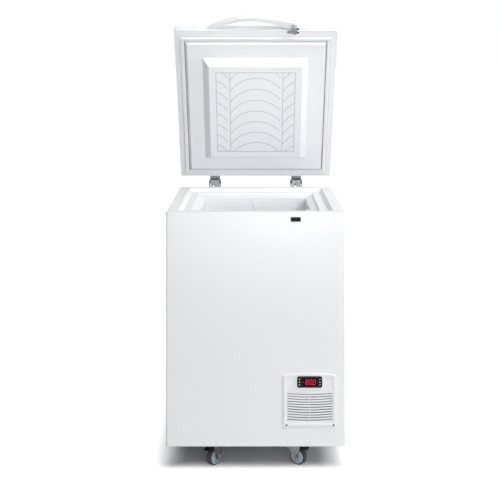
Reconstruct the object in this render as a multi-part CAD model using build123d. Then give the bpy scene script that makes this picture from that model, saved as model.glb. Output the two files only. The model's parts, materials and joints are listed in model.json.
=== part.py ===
"""Chest ultra low temperature freezer, shown with its lid open.

Lengths are millimetres. The model is drawn with the front of the cabinet skin at Y = 0 and the floor
at Z = 0, then every piece is moved back along Y so that the origin lies under the middle of the whole.
"""
from build123d import *
from math import cos, radians, sin, sqrt
import os

# Cabinet
cabinet_width = 550.0
cabinet_depth = 609.0
cabinet_height = 718.0
caster_height = 78.0
skin = 1.0
skin_corner = 5.0
insulation = 95.0
floor_insulation = 92.0
chamber_depth = 380.0
liner_sheet = 1.0
bulkhead_sheet = 1.2
pan_sheet = 1.5
pan_flange = 25.0

# Moulded rim collar, as steps measured inwards from the skin and down from the rim
rim_overhang = 1.0
rim_lip = 10.0
rim_wall = 3.0
rim_flat = 34.0
recess_drop = 13.0
recess_slope = 11.0
ledge_width = 24.0
ledge_drop = 7.0
mouth_drop = 8.0
skirt = 13.0

# Lid
lid_overhang = 5.0
lid_side_overhang = 1.0
lid_thickness = 37.0
lid_corner = 6.0
lid_edge_round = 5.0
lid_liner_wall = 2.5
plinth_ease = 2.0
lid_lift = 8.0
open_angle = 59.0
gasket_width = 12.5
gasket_clearance = 0.3
gasket_setback = 2.6
gasket_wall = 1.6
plug_clearance = 3.0
plug_height = 13.0
plug_slope = 10.5
plinth_height = 24.0
plinth_slope = 22.0

# Embossed panel in the lid liner
panel_margin = 23.0
groove_width = 1.8
groove_depth = 1.0
arc_radius = 103.0
arc_pitch = 45.0
arc_first = 22.0
column_width = 183.0
column_shift = 2.5
arc_stop_short = 9.0

# Hinges
hinge_spacing = 301.0
hinge_width = 43.5
hinge_sheet = 2.5
hinge_leaf_width = 36.0
pivot_setback = 33.0
pivot_rise = 15.0
pin_diameter = 7.0
pin_fit = 0.05
cheek_reach = 9.0
cheek_root = 60.0
leaf_reach = 8.0
leaf_start = 3.0
bracket_drop = 95.0
bracket_rise = 6.0
leaf_height = 30.0
spring_diameter = 13.0
spring_gap = 0.3
sight_hole = 8.5

# Handle and lock
handle_reach = 47.0
handle_gap = 31.0
handle_left = -166.0
handle_right = 190.0
handle_apex = -18.0
gap_left = -135.0
gap_right = 104.0
handle_height = 18.0
handle_offset = 8.0
handle_round = 4.0
housing_drop = 4.0
lock_x = 131.0
lock_reach = 12.0
lock_housing_diameter = 27.0
lock_housing_height = 30.0
barrel_diameter = 16.0
barrel_fit = 0.05
barrel_proud = 2.0
hub_diameter = 18.0
hub_height = 18.0
hook_length = 26.0
hook_height = 7.0
hook_width = 8.0
strike_width = 31.0
strike_height = 14.0
strike_drop = 22.0
strike_depth = 16.0
strike_wall = 1.8
strike_proud = 1.0

# Front fascia and controller
fascia_left = 84.0
fascia_right = 247.0
fascia_low = 62.0
fascia_high = 226.0
fascia_crown = 6.0
fascia_proud = 4.0
fascia_sheet = 3.0
fascia_border = 9.0
dish_depth = 2.0
slot_count = 11
slot_height = 3.3
slot_pitch = 7.9
slot_sag = 3.6
slot_tilt = 25.0
slot_side_margin = 4.0
lowest_slot = 21.0
rib_width = 2.5
controller_width = 77.0
controller_height = 35.0
controller_depth = 58.0
controller_proud = 2.0
controller_corner = 6.0
controller_surround = 4.5
controller_above_pan = 199.0
controller_x = 165.5
controller_step = 3.0
key_width = 6.0
key_height = 5.0
key_depth = 3.0
key_inset = 7.0
key_travel = 0.6
key_clearance = 0.2
key_pitch = 8.6
display_width = 50.0
display_height = 23.0
window_sheet = 1.5

# Casters
caster_half_spacing = 118.0
caster_setback = 72.0
wheel_diameter = 50.0
wheel_width = 20.0
trail = 20.0
axle_diameter = 8.0
axle_fit = 0.05
fork_sheet = 2.0
fork_clearance = 2.0
fork_top = 66.5
fork_length = 50.0
fork_heel = 18.0
nut_height = 4.0
plate_sheet = 2.5
plate_side = 58.0
race_diameter = 34.0
swivel_clearance = 0.2
pedal_length = 48.0
pedal_height = 9.0
pedal_pin_diameter = 4.0
shoe_gap = 2.6
caster_turns = {"front_left": -39.0, "front_right": 56.0, "rear_left": 25.0, "rear_right": -20.0}

# Machine compartment
compressor_diameter = 150.0
compressor_height = 165.0
compressor_shoulder = 28.0
compressor_x = -120.0
compressor_y = 330.0
mount_height = 12.0
mount_diameter = 22.0
feet_sheet = 3.0
condenser_width = 160.0
condenser_height = 196.0
condenser_depth = 44.0
condenser_gap = 72.0
fin_count = 22
fin_depth = 9.0
shroud_depth = 16.0
fan_diameter = 134.0
fan_clearance = 4.0
fan_motor_diameter = 42.0
fan_motor_length = 36.0
fan_hub_diameter = 40.0
fan_hub_depth = 16.0
motor_reach = 40.0
shaft_diameter = 6.0
blade_chord = 34.0
blade_count = 5
drier_diameter = 22.0
drier_length = 110.0
coil_turns = 5
coil_side = 9.0
suction_diameter = 9.5
discharge_diameter = 6.4

# Back of the cabinet
grille_width = 320.0
grille_height = 150.0
grille_x = -70.0
grille_above_pan = 45.0
grille_slots = 9
inlet_x = 190.0
inlet_above_pan = 70.0
inlet_width = 48.0
inlet_height = 28.0
inlet_depth = 30.0
box_width = 110.0
box_depth = 90.0
box_height = 62.0
screw_diameter = 7.0
screw_head = 1.8
screw_inset = 5.0
grille_sheet = 1.2

# Places worked out from the sizes above
half_width = cabinet_width / 2
pan_z = caster_height
rim_z = caster_height + cabinet_height
collar_z = rim_z - rim_lip
seam_z = rim_z - recess_drop - ledge_drop - mouth_drop - skirt
chamber_z = rim_z - chamber_depth
bulkhead_z = chamber_z - liner_sheet - floor_insulation - bulkhead_sheet
chamber_half = half_width - insulation
middle_y = cabinet_depth / 2
pivot_y = cabinet_depth + pivot_setback
pivot_z = rim_z + pivot_rise
lid_z = rim_z + lid_lift
lid_top = lid_z + lid_thickness
lid_half = half_width + lid_side_overhang
lock_y = -lid_overhang - lock_reach
strike_z = rim_z - strike_drop
hook_z = strike_z - hook_height / 2
hinge_centres = {"left": -hinge_spacing / 2, "right": hinge_spacing / 2}
controller_z = pan_z + controller_above_pan
fascia_mid = (fascia_left + fascia_right) / 2
key_x = controller_x + controller_width / 2 - key_inset
lamp_x = controller_x - controller_width / 2 + key_inset


def block(x0, x1, y0, y1, z0, z1):
    """A box given by its two corners."""
    size = Box(x1 - x0, y1 - y0, z1 - z0)
    return Pos((x0 + x1) / 2, (y0 + y1) / 2, (z0 + z1) / 2) * size


def outline(inset, z):
    """A rectangle face that lies inset from the cabinet skin at height z."""
    return Pos(0, middle_y, z) * Rectangle(cabinet_width - 2 * inset, cabinet_depth - 2 * inset)


def prism(inset, z0, z1):
    """An upright block inset from the cabinet skin."""
    return block(inset - half_width, half_width - inset, inset, cabinet_depth - inset, z0, z1)


def frustum(low, high):
    """A tapered solid between two outlines, each an (inset, z) pair."""
    return loft([outline(*low), outline(*high)], ruled=True)


def rod(x, y, z, diameter, length, axis="Z"):
    """A cylinder that starts at a point and runs along a positive axis."""
    turn = {"X": Rot(0, 90, 0), "Y": Rot(-90, 0, 0), "Z": Rot(0, 0, 0)}[axis]
    return Pos(x, y, z) * turn * Pos(0, 0, length / 2) * Cylinder(diameter / 2, length)


def tube_along(points, diameter):
    """A round tube along straight runs with mitred elbows."""
    path = Polyline(*points)
    start = Plane(origin=path @ 0, z_dir=path % 0)
    return sweep(start * Circle(diameter / 2), path=path, transition=Transition.RIGHT)


def joined(shapes):
    """The shapes as one group of separate solids."""
    return Compound([solid for shape in shapes for solid in shape.solids()])


def facet_rod(x, y, z, diameter, length, sides, axis="Z"):
    """A short prism across its corners, for screw heads and other small round trim."""
    turn = {"X": Rot(0, 90, 0), "Y": Rot(-90, 0, 0), "Z": Rot(0, 0, 0)}[axis]
    return Pos(x, y, z) * turn * extrude(RegularPolygon(diameter / 2, sides), length)


def rim_cavity(grow):
    """The stepped hollow that the collar surrounds, grown outwards and down by its wall."""
    recess_floor = rim_z - recess_drop - grow
    step_floor = recess_floor - ledge_drop
    mouth_floor = step_floor - mouth_drop
    wall_foot = rim_flat + recess_slope - grow
    ledge_end = wall_foot + ledge_width
    step_end = ledge_end + ledge_drop
    upper = frustum((wall_foot, recess_floor), (rim_flat - grow, rim_z))
    middle = frustum((step_end, step_floor), (ledge_end, recess_floor))
    lower = frustum((insulation - grow, mouth_floor), (step_end, step_floor))
    throat = prism(insulation - grow, seam_z, mouth_floor)
    return upper + middle + lower + throat


def rim_collar():
    """Moulded collar: flat top, outer lip on the skin, two steps and a skirt to the liner."""
    width = cabinet_width + 2 * rim_overhang
    depth = cabinet_depth + rim_overhang
    plate = Pos(0, (cabinet_depth - rim_overhang) / 2, collar_z) * RectangleRounded(
        width, depth, skin_corner + rim_overhang)
    cap = extrude(plate, rim_lip)
    under = prism(rim_wall, collar_z - 1, rim_z - rim_wall)
    return cap - under + rim_cavity(rim_wall) - rim_cavity(0)


def outer_shell():
    """Painted steel wrap: the front and both sides in one bent sheet."""
    plan = Pos(0, middle_y) * Rectangle(cabinet_width, cabinet_depth)
    plan = fillet(plan.vertices().sort_by(Axis.Y)[:2], skin_corner)
    hollow = Pos(0, middle_y + skin) * Rectangle(cabinet_width - 2 * skin, cabinet_depth)
    hollow = fillet(hollow.vertices().sort_by(Axis.Y)[:2], skin_corner - skin)
    wrap = extrude(Pos(0, 0, pan_z) * (plan - hollow), collar_z - pan_z)
    border = fascia_border
    intake = block(fascia_left + border, fascia_right - border, -skin, 2 * skin,
                   pan_z + fascia_low + border, pan_z + fascia_high - border)
    return wrap - intake - strike_hole()


def strike_hole():
    """The hole in the skin that the strike cup fills."""
    x = strike_centre()
    half_x = strike_width / 2 - strike_wall / 2
    half_z = strike_height / 2 - strike_wall / 2
    return block(x - half_x, x + half_x, -skin, strike_depth,
                 strike_z - half_z, strike_z + half_z)


def strike_centre():
    """Middle of the slot, so that the turning hook clears both of its ends."""
    sweep_in = sqrt(hook_length ** 2 - lock_y ** 2)
    return lock_x + (hook_width / 2 - sweep_in) / 2


def strike_plate():
    """Black strike: a frame on the skin with a cup behind its slot."""
    x = strike_centre()
    half_x = strike_width / 2
    half_z = strike_height / 2
    frame = block(x - half_x, x + half_x, -strike_proud, 0, strike_z - half_z, strike_z + half_z)
    frame = chamfer(frame.edges().group_by(Axis.Y)[0], strike_proud * 0.6)
    slot = block(x - half_x + strike_wall, x + half_x - strike_wall, -2 * strike_proud,
                 strike_depth - strike_wall, strike_z - half_z + strike_wall,
                 strike_z + half_z - strike_wall)
    return frame + strike_hole() - slot


def back_panel():
    """Flat steel back with cut-outs for the rear grille and the power inlet."""
    panel = block(-half_width + skin, half_width - skin, cabinet_depth - skin, cabinet_depth,
                  pan_z, collar_z)
    margin = 12.0
    low = pan_z + grille_above_pan
    vent = block(grille_x - grille_width / 2 + margin, grille_x + grille_width / 2 - margin,
                 cabinet_depth - 2 * skin, cabinet_depth + skin, low + margin,
                 low + grille_height - margin)
    return panel - vent - inlet_body(0)


def base_pan():
    """Pressed steel pan with upturned edges that carries the machine and the casters."""
    inset = skin + skin_corner / 4
    outer = prism(inset, pan_z, pan_z + pan_flange)
    return outer - prism(inset + pan_sheet, pan_z + pan_sheet, pan_z + pan_flange + 1)


def bulkhead():
    """Plate that parts the insulation from the machine compartment."""
    plate = block(-half_width + skin, half_width - skin, skin, cabinet_depth - skin,
                  bulkhead_z, bulkhead_z + bulkhead_sheet)
    return plate - outer_corner_waste(bulkhead_z)


def inner_liner():
    """Folded metal tub of the chamber."""
    tub = prism(insulation - liner_sheet, chamber_z - liner_sheet, seam_z)
    return tub - prism(insulation, chamber_z, seam_z + 1)


def coil_levels():
    """Heights of the lowest edge of each evaporator turn."""
    low = chamber_z + 20
    high = seam_z - 40
    return [low + (high - low) * turn / (coil_turns - 1) for turn in range(coil_turns)]


def evaporator_coil():
    """Flattened tube wound round the liner, one turn above another, with its riser at the back."""
    inset = insulation - liner_sheet
    levels = coil_levels()
    back = cabinet_depth - inset
    coil = block(-coil_side / 2, coil_side / 2, back, back + coil_side, levels[0], levels[-1] + coil_side)
    for z in levels:
        turn = prism(inset - coil_side, z, z + coil_side) - prism(inset, z - 1, z + coil_side + 1)
        coil = coil + turn
    return coil


def foam_insulation():
    """Foam poured between skin, collar, liner and bulkhead, with room for the coil."""
    low = bulkhead_z + bulkhead_sheet
    levels = coil_levels()
    inset = insulation - liner_sheet
    body = prism(skin, low, collar_z) + prism(rim_wall, collar_z, rim_z - rim_wall)
    tub = prism(inset, chamber_z - liner_sheet, rim_z)
    jacket = prism(inset - coil_side, levels[0], levels[-1] + coil_side)
    return body - tub - jacket - rim_cavity(rim_wall) - strike_hole() - outer_corner_waste(low)


def outer_corner_waste(low):
    """What the rounded front corners of the skin take off a square block."""
    square = block(-half_width, half_width, 0, 2 * skin_corner, low - 1, rim_z)
    round_front = Pos(0, middle_y + skin / 2) * Rectangle(cabinet_width - 2 * skin, cabinet_depth - skin)
    round_front = fillet(round_front.vertices().sort_by(Axis.Y)[:2], skin_corner - skin)
    return square - extrude(Pos(0, 0, low - 1) * round_front, rim_z - low + 1)


def lid_outline(shrink, z):
    """Plan of the lid, moved inwards from its outer skin."""
    width = 2 * (lid_half - shrink)
    depth = cabinet_depth + lid_overhang - 2 * shrink
    return Pos(0, (cabinet_depth - lid_overhang) / 2, z) * RectangleRounded(width, depth, lid_corner - shrink)


def lid_cover():
    """The outer form of the lid with soft top edges."""
    form = extrude(lid_outline(0, lid_z), lid_thickness)
    return fillet(form.edges().group_by(Axis.Z)[-1], lid_edge_round)


def lid_inside():
    """The space under the lid skin, with its top edges broken to follow the soft ones."""
    form = extrude(lid_outline(skin, lid_z), lid_thickness - skin)
    return chamfer(form.edges().group_by(Axis.Z)[-1], lid_edge_round / 2)


def lid_outer_skin():
    """Painted steel lid cover, a pan pressed with soft edges."""
    return lid_cover() - lid_inside()


def lid_plug(wall):
    """The stepped form under the lid, moved inwards by the wall of the moulding."""
    top = lid_z + lid_liner_wall
    step_floor = lid_z - plug_height + wall
    crest = step_floor - plinth_height
    rise = top - step_floor
    foot = rim_flat + plug_clearance + plug_slope / 2 + wall
    head = foot - plug_slope * rise / (plug_height + lid_liner_wall)
    plinth_foot = insulation - plinth_ease + wall
    collar = frustum((foot, step_floor), (head, top))
    plinth = frustum((plinth_foot + plinth_slope, crest), (plinth_foot, step_floor))
    return collar + plinth


def emboss():
    """Rows of shallow arcs between upright grooves, cut into the crest of the plinth."""
    crest = lid_z - plug_height - plinth_height
    inset = insulation - plinth_ease + plinth_slope + panel_margin
    half = half_width - inset
    length = cabinet_depth - 2 * inset
    rim = 2 * groove_width
    pattern = Rectangle(2 * half, length) - Rectangle(2 * half - rim, length - rim)
    for side in (-1, 1):
        pattern = pattern + Pos(column_shift + side * column_width / 2, 0) * Rectangle(groove_width, length)
    ring = Circle(arc_radius) - Circle(arc_radius - groove_width)
    rows = int((length + arc_radius) / arc_pitch)
    for column in (-1, 0, 1):
        centre = column_shift + column * column_width
        left = max(centre - column_width / 2, -half)
        right = min(centre + column_width / 2 - arc_stop_short, half)
        for row in range(-1, rows):
            apex = arc_first + row * arc_pitch - length / 2
            low = max(apex - 1, -length / 2)
            high = min(apex + arc_radius * 0.7, length / 2)
            window = Pos((left + right) / 2, (low + high) / 2) * Rectangle(right - left, high - low)
            pattern = pattern + (Pos(centre, apex + arc_radius) * ring & window)
    return extrude(Pos(0, middle_y, crest) * pattern, groove_depth)


def lid_liner():
    """Vacuum formed inner face of the lid: border, plug, plinth and embossed panel."""
    plate = extrude(lid_outline(skin, lid_z), lid_liner_wall)
    return plate + lid_plug(0) - lid_plug(lid_liner_wall) - emboss()


def lid_foam():
    """Foam that fills the lid between its skin and its liner."""
    return lid_inside() - extrude(lid_outline(skin, lid_z), lid_liner_wall) + lid_plug(lid_liner_wall)


def lid_gasket():
    """Hollow rubber seal frame, mitred at its corners, between the lid border and the flat of the rim."""
    inner = rim_flat - gasket_setback
    outer = inner - gasket_width
    low = rim_z + gasket_clearance
    ring = prism(outer, low, lid_z) - prism(inner, low - 1, lid_z + 1)
    hollow = prism(outer + gasket_wall, low + gasket_wall, lid_z - gasket_wall)
    return ring - (hollow - prism(inner - gasket_wall, low, lid_z))


def cheek(x0, x1, root_low, root_high, reach):
    """A side plate that narrows from a mounting face to a blunt nose round the pivot."""
    nose = reach / 2
    edge = Polyline((cabinet_depth, root_low), (pivot_y + nose, pivot_z - reach), (pivot_y + reach, pivot_z - nose),
                    (pivot_y + reach, pivot_z + nose), (pivot_y + nose, pivot_z + reach),
                    (pivot_y - nose, pivot_z + reach), (cabinet_depth, root_high), close=True)
    plane = Plane(origin=(x0, 0, 0), x_dir=(0, 1, 0), z_dir=(1, 0, 0))
    return extrude(plane * make_face(edge), x1 - x0)


def pin_bore(x, diameter, length):
    """A rod across the hinge on its pivot."""
    return rod(x - length / 2, pivot_y, pivot_z, diameter, length, "X")


def hinge_bracket(x):
    """Fixed channel on the cabinet back with a cheek at each side of the pivot."""
    half = hinge_width / 2
    low = rim_z - bracket_drop
    high = rim_z + bracket_rise
    shape = block(x - half, x + half, cabinet_depth, cabinet_depth + hinge_sheet, low, high)
    for x0 in (x - half, x + half - hinge_sheet):
        shape = shape + cheek(x0, x0 + hinge_sheet, high - cheek_root, high, cheek_reach)
    hole = rod(x - half / 4, cabinet_depth - 1, rim_z + 1, sight_hole, 2 * hinge_sheet, "Y")
    return shape - pin_bore(x, pin_diameter, 2 * hinge_width) - hole


def hinge_leaf(x):
    """Moving channel on the rear edge of the lid, nested inside the bracket."""
    half = hinge_leaf_width / 2
    low = lid_z + leaf_start
    shape = block(x - half, x + half, cabinet_depth, cabinet_depth + hinge_sheet, low, low + leaf_height)
    for x0 in (x - half, x + half - hinge_sheet):
        shape = shape + cheek(x0, x0 + hinge_sheet, low, low + leaf_height * 0.6, leaf_reach)
    return shape - pin_bore(x, pin_diameter + 2 * pin_fit, 2 * hinge_width)


def hinge_pins():
    """One pin through each hinge."""
    return joined([pin_bore(x, pin_diameter, hinge_width + 2) for x in hinge_centres.values()])


def hinge_springs():
    """Torsion springs round the pins, drawn as the faceted sleeve that the coils fill."""
    length = hinge_leaf_width - 2 * hinge_sheet - 2 * spring_gap
    springs = []
    for x in hinge_centres.values():
        start = (x - length / 2, pivot_y, pivot_z)
        bore = pin_diameter + 2 * spring_gap
        sleeve = facet_rod(*start, spring_diameter, length, 8, "X")
        springs.append(sleeve - facet_rod(*start, bore, length, 8, "X"))
    return joined(springs)


def handle():
    """Arched grip on the front edge of the lid, thickened into a lock housing at one end."""
    front = -lid_overhang
    outer = two_arc_face(handle_left, handle_apex, handle_right, front, front - handle_reach)
    inner = two_arc_face(gap_left, handle_apex, gap_right, front, front - handle_gap)
    low = lid_z + handle_offset
    arch = extrude(Pos(0, 0, low) * (outer - inner), handle_height)
    rim = arch.edges().group_by(Axis.Z)[0] + arch.edges().group_by(Axis.Z)[-1]
    arch = chamfer([edge for edge in rim if edge.geom_type == GeomType.CIRCLE], handle_round)
    housing_low = low - housing_drop
    radius = lock_housing_diameter / 2
    plan = Circle(radius) + Pos(0, radius / 2) * Rectangle(2 * radius, radius)
    plan = plan & Pos(0, lock_reach - 2 * radius) * Rectangle(4 * radius, 4 * radius)
    housing = extrude(Pos(lock_x, lock_y, housing_low) * plan, lock_housing_height)
    bore = rod(lock_x, lock_y, housing_low - 1, barrel_diameter + 2 * barrel_fit, lock_housing_height + 2)
    return arch + housing - bore


def two_arc_face(left, apex, right, base, tip):
    """The area between a base line and an arch made of two arcs that share their top tangent."""
    rise = abs(tip - base)

    def middle(end):
        run = abs(end - apex)
        radius = (run ** 2 + rise ** 2) / (2 * rise)
        return (apex + (end - apex) / 2, tip + radius - sqrt(radius ** 2 - (run / 2) ** 2))

    arch = Curve() + [
        ThreePointArc((left, base), middle(left), (apex, tip)),
        ThreePointArc((apex, tip), middle(right), (right, base)),
        Line((right, base), (left, base)),
    ]
    return make_face(arch)


def handle_screws():
    """Screw heads on top of the handle feet."""
    top = lid_z + handle_offset + handle_height
    y = -lid_overhang - screw_diameter
    return joined([facet_rod(x, y, top, screw_diameter, screw_head, 6) for x in (gap_left - 8, handle_right - 26)])


def lock_barrel():
    """Plated lock barrel with a key slot in its top."""
    low = hook_z + hub_height
    high = lid_z + handle_offset - housing_drop + lock_housing_height + barrel_proud
    barrel = rod(lock_x, lock_y, low, barrel_diameter, high - low)
    key_way = block(lock_x - 1, lock_x + 1, lock_y - 4, lock_y + 4, high - 6, high + 1)
    return barrel - key_way


def lock_hook():
    """Black cam under the barrel: a hub, a hook and the web that stiffens it."""
    hub = rod(lock_x, lock_y, hook_z, hub_diameter, hub_height)
    end = lock_x - hook_length
    arm = Pos(0, lock_y, hook_z) * extrude(make_face(Polyline(
        (lock_x, -hook_width / 2, 0), (end + 4, -hook_width / 2, 0), (end, -hook_width / 4, 0),
        (end, hook_width / 4, 0), (end + 4, hook_width / 2, 0), (lock_x, hook_width / 2, 0), close=True)),
        hook_height)
    heel = lock_x - hub_diameter / 2
    brace = Plane.XZ.offset(-lock_y - 2) * make_face(Polyline(
        (lock_x, hook_z + hook_height - 1), (heel - 7, hook_z + hook_height - 1),
        (heel, hook_z + hub_height), (lock_x, hook_z + hub_height), close=True))
    return hub + arm + extrude(brace, 4)


def fascia_profile(inset):
    """Front view of the fascia: a rectangle whose top edge is gently crowned."""
    left = fascia_left + inset
    right = fascia_right - inset
    low = pan_z + fascia_low + inset
    high = pan_z + fascia_high - inset
    edge = Curve() + [
        Line((left, low), (right, low)),
        Line((right, low), (right, high - fascia_crown)),
        ThreePointArc((right, high - fascia_crown), ((left + right) / 2, high), (left, high - fascia_crown)),
        Line((left, high - fascia_crown), (left, low)),
    ]
    return make_face(edge)


def upright(profile, y0, y1):
    """A front view profile drawn in X and Z, extruded between two depths."""
    return extrude(Plane(origin=(0, y0, 0), x_dir=(1, 0, 0), z_dir=(0, -1, 0)) * profile, -(y1 - y0))


def louvre(level):
    """One smiling slot that slants up as it goes in."""
    left = fascia_left + fascia_border + slot_side_margin
    right = fascia_right - fascia_border - slot_side_margin
    mid = (left + right) / 2
    top = level + slot_height
    edge = Curve() + [
        ThreePointArc((left, level), (mid, level - slot_sag), (right, level)),
        Line((right, level), (right, top)),
        ThreePointArc((right, top), (mid, top - slot_sag), (left, top)),
        Line((left, top), (left, level)),
    ]
    face = make_face(edge)
    deep = fascia_proud + 2.0
    plane = Plane(origin=(0, -deep, -deep * sin(radians(slot_tilt))), x_dir=(1, 0, 0), z_dir=(0, -1, 0))
    way = (0, 2 * deep + fascia_sheet, (2 * deep + fascia_sheet) * sin(radians(slot_tilt)))
    return extrude(plane * face, amount=Vector(*way).length, dir=way)


def front_fascia():
    """Moulded grille: raised border, dished field, curved louvres and a boss round the controller."""
    plate = upright(fascia_profile(0), -fascia_proud, 0)
    front_edges = plate.edges().group_by(Axis.Y)[0]
    plate = chamfer(front_edges, 1.5)
    dish = upright(fascia_profile(fascia_border), -fascia_proud - 1, -fascia_proud + dish_depth)
    hollow = upright(fascia_profile(fascia_border), -fascia_proud + dish_depth + 2.0, 1)
    boss = controller_block(controller_surround, -fascia_proud - 0.5, -fascia_proud + dish_depth + 2.0)
    grid = plate - dish - hollow + boss
    base = pan_z + fascia_low + lowest_slot
    for row in range(slot_count):
        grid = grid - louvre(base + row * slot_pitch)
    low = base - slot_pitch
    high = base + slot_count * slot_pitch
    rib = block(fascia_mid - rib_width / 2, fascia_mid + rib_width / 2, -fascia_proud + dish_depth,
                -fascia_proud + dish_depth + 2.0, low, high)
    return grid + rib - controller_block(0.0, -fascia_proud - 5, 5)


def controller_block(grow, y0, y1):
    """A rounded block of the controller's outline, grown by a margin."""
    shape = Pos(controller_x, controller_z) * RectangleRounded(
        controller_width + 2 * grow, controller_height + 2 * grow, controller_corner + grow)
    return upright(shape, y0, y1)


def controller_housing():
    """Black controller case with pockets for its window, lamps and keys."""
    front = -fascia_proud - controller_proud
    bezel = controller_block(0, front, skin)
    bezel = chamfer(bezel.edges().group_by(Axis.Y)[0], 1.2)
    half_x = controller_width / 2 - controller_step
    half_z = controller_height / 2 - controller_step
    case = block(controller_x - half_x, controller_x + half_x, skin, controller_depth,
                 controller_z - half_z, controller_z + half_z)
    body = bezel + case - window_block(front - 1)
    for level in key_levels():
        body = body - key_block(key_x, level, key_clearance, front - 1, front + key_depth + key_travel)
    return body


def window_block(front):
    """The display window, let into the front of the controller."""
    half_x = display_width / 2
    half_z = display_height / 2
    floor = -fascia_proud - controller_proud + window_sheet
    return block(controller_x - half_x, controller_x + half_x, front, floor,
                 controller_z - half_z, controller_z + half_z)


def key_levels():
    """Heights of the three keys, lowest first."""
    return [controller_z + key_pitch * step for step in (-1, 0, 1)]


def key_block(x, level, grow, y0, y1):
    """The outline of a key or lamp as a block, grown all round by a clearance."""
    half_x = key_width / 2 + grow
    half_z = key_height / 2 + grow
    return block(x - half_x, x + half_x, y0, y1, level - half_z, level + half_z)


def control_key(level):
    """One push key that stands proud of the bezel by its travel."""
    front = -fascia_proud - controller_proud
    key = key_block(key_x, level, 0, front - key_travel, front + key_depth - key_travel)
    return chamfer(key.edges().group_by(Axis.Y)[0], key_travel / 2)


def indicator_lamps():
    """Three small lenses on the bezel, level with the keys."""
    front = -fascia_proud - controller_proud
    lens = 0.4
    return joined([key_block(lamp_x, level, -1, front - lens, front) for level in key_levels()])


def caster_place(corner):
    """Swivel centre of a caster and its resting turn."""
    side = -1 if corner.endswith("left") else 1
    y = caster_setback if corner.startswith("front") else cabinet_depth - caster_setback
    return Pos(side * caster_half_spacing, y, 0) * Rot(0, 0, caster_turns[corner])


def caster_plates():
    """Top plates under the pan, each with the cup of its ball race."""
    plates = []
    for corner in caster_turns:
        side = -1 if corner.endswith("left") else 1
        y = caster_setback if corner.startswith("front") else cabinet_depth - caster_setback
        half = plate_side / 2
        x = side * caster_half_spacing
        plate = block(x - half, x + half, y - half, y + half, pan_z - plate_sheet, pan_z)
        low = fork_top + swivel_clearance
        plates.append(plate + facet_rod(x, y, low, race_diameter, pan_z - plate_sheet - low, 12))
    return joined(plates)


def caster_fork():
    """Pressed fork: a crown and two tapering legs joined by the axle bolt."""
    radius = wheel_diameter / 2
    inside = wheel_width / 2 + fork_clearance
    outside = inside + fork_sheet
    front = -fork_length + fork_heel
    crown = block(-outside, outside, front, fork_heel, fork_top - fork_sheet, fork_top)
    tip = axle_diameter * 0.8
    edge = Polyline((front, fork_top), (front, fork_top - 9), (-trail - tip, radius), (-trail - tip / 2, radius - tip),
                    (-trail + tip / 2, radius - tip), (-trail + tip, radius), (fork_heel, fork_top - 9),
                    (fork_heel, fork_top), close=True)
    side = Plane(origin=(inside, 0, 0), x_dir=(0, 1, 0), z_dir=(1, 0, 0))
    leg = extrude(side * make_face(edge), fork_sheet)
    axle = rod(-outside, -trail, radius, axle_diameter, 2 * outside, "X")
    nuts = [facet_rod(x, -trail, radius, axle_diameter * 1.6, nut_height, 6, "X")
            for x in (outside, -outside - nut_height)]
    return crown + leg + mirror(leg, Plane.YZ) + axle + nuts[0] + nuts[1]


def caster_wheel():
    """Wheel with its tread moulded on, bored for the axle."""
    half = wheel_width / 2
    tyre = rod(-half, -trail, wheel_diameter / 2, wheel_diameter, wheel_width, "X")
    bore = rod(-half - 1, -trail, wheel_diameter / 2, axle_diameter + 2 * axle_fit, wheel_width + 2, "X")
    return tyre - bore


def pedal_pivot():
    """Where the brake pedal turns in the fork, as (y, z)."""
    return (-6.0, fork_top - 7.0)


def brake_pedal():
    """Black foot pedal with a brake shoe over the tread."""
    y, z = pedal_pivot()
    half = wheel_width / 2 + fork_clearance / 2
    end = y - pedal_length
    shoe = wheel_diameter + shoe_gap
    low = z - pedal_height / 2
    edge = Polyline((y + 4, low), (y + 4, z + 4), (y - 20, z + 4), (end + 5, z - 1), (end, z - 7),
                    (end + 4, z - 9), (y - 24, low), (y - 18, shoe), (y - 8, shoe), close=True)
    side = Plane(origin=(-half, 0, 0), x_dir=(0, 1, 0), z_dir=(1, 0, 0))
    pedal = extrude(side * make_face(edge), 2 * half)
    return pedal - rod(-half - 1, y, z, pedal_pin_diameter + 2 * axle_fit, 2 * half + 2, "X")


def pedal_pin():
    """Pin of the brake pedal, riveted in the fork legs."""
    y, z = pedal_pivot()
    inside = wheel_width / 2 + fork_clearance
    return rod(-inside, y, z, pedal_pin_diameter, 2 * inside, "X")


def compressor():
    """Hermetic compressor pot with a domed top, its feet and its terminal cover."""
    base = pan_z + pan_sheet + mount_height
    low = base + feet_sheet
    radius = compressor_diameter / 2
    pot = rod(compressor_x, compressor_y, low, compressor_diameter, compressor_height)
    pot = chamfer(pot.edges().group_by(Axis.Z)[-1], compressor_shoulder)
    half = radius + mount_diameter / 2
    feet = block(compressor_x - half, compressor_x + half, compressor_y - half, compressor_y + half, base, low)
    cover = block(compressor_x + radius - 12, compressor_x + radius + 22, compressor_y - 28, compressor_y + 28,
                  low + 30, low + 80)
    return pot + feet + cover


def mount_places():
    """Centres of the four rubber mounts under the compressor feet."""
    half = compressor_diameter / 2
    return [(compressor_x + sx * half, compressor_y + sy * half) for sx in (-1, 1) for sy in (-1, 1)]


def compressor_mounts():
    """Rubber mounts between the pan and the compressor feet."""
    low = pan_z + pan_sheet
    return joined([facet_rod(x, y, low, mount_diameter, mount_height, 8) for x, y in mount_places()])


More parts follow.
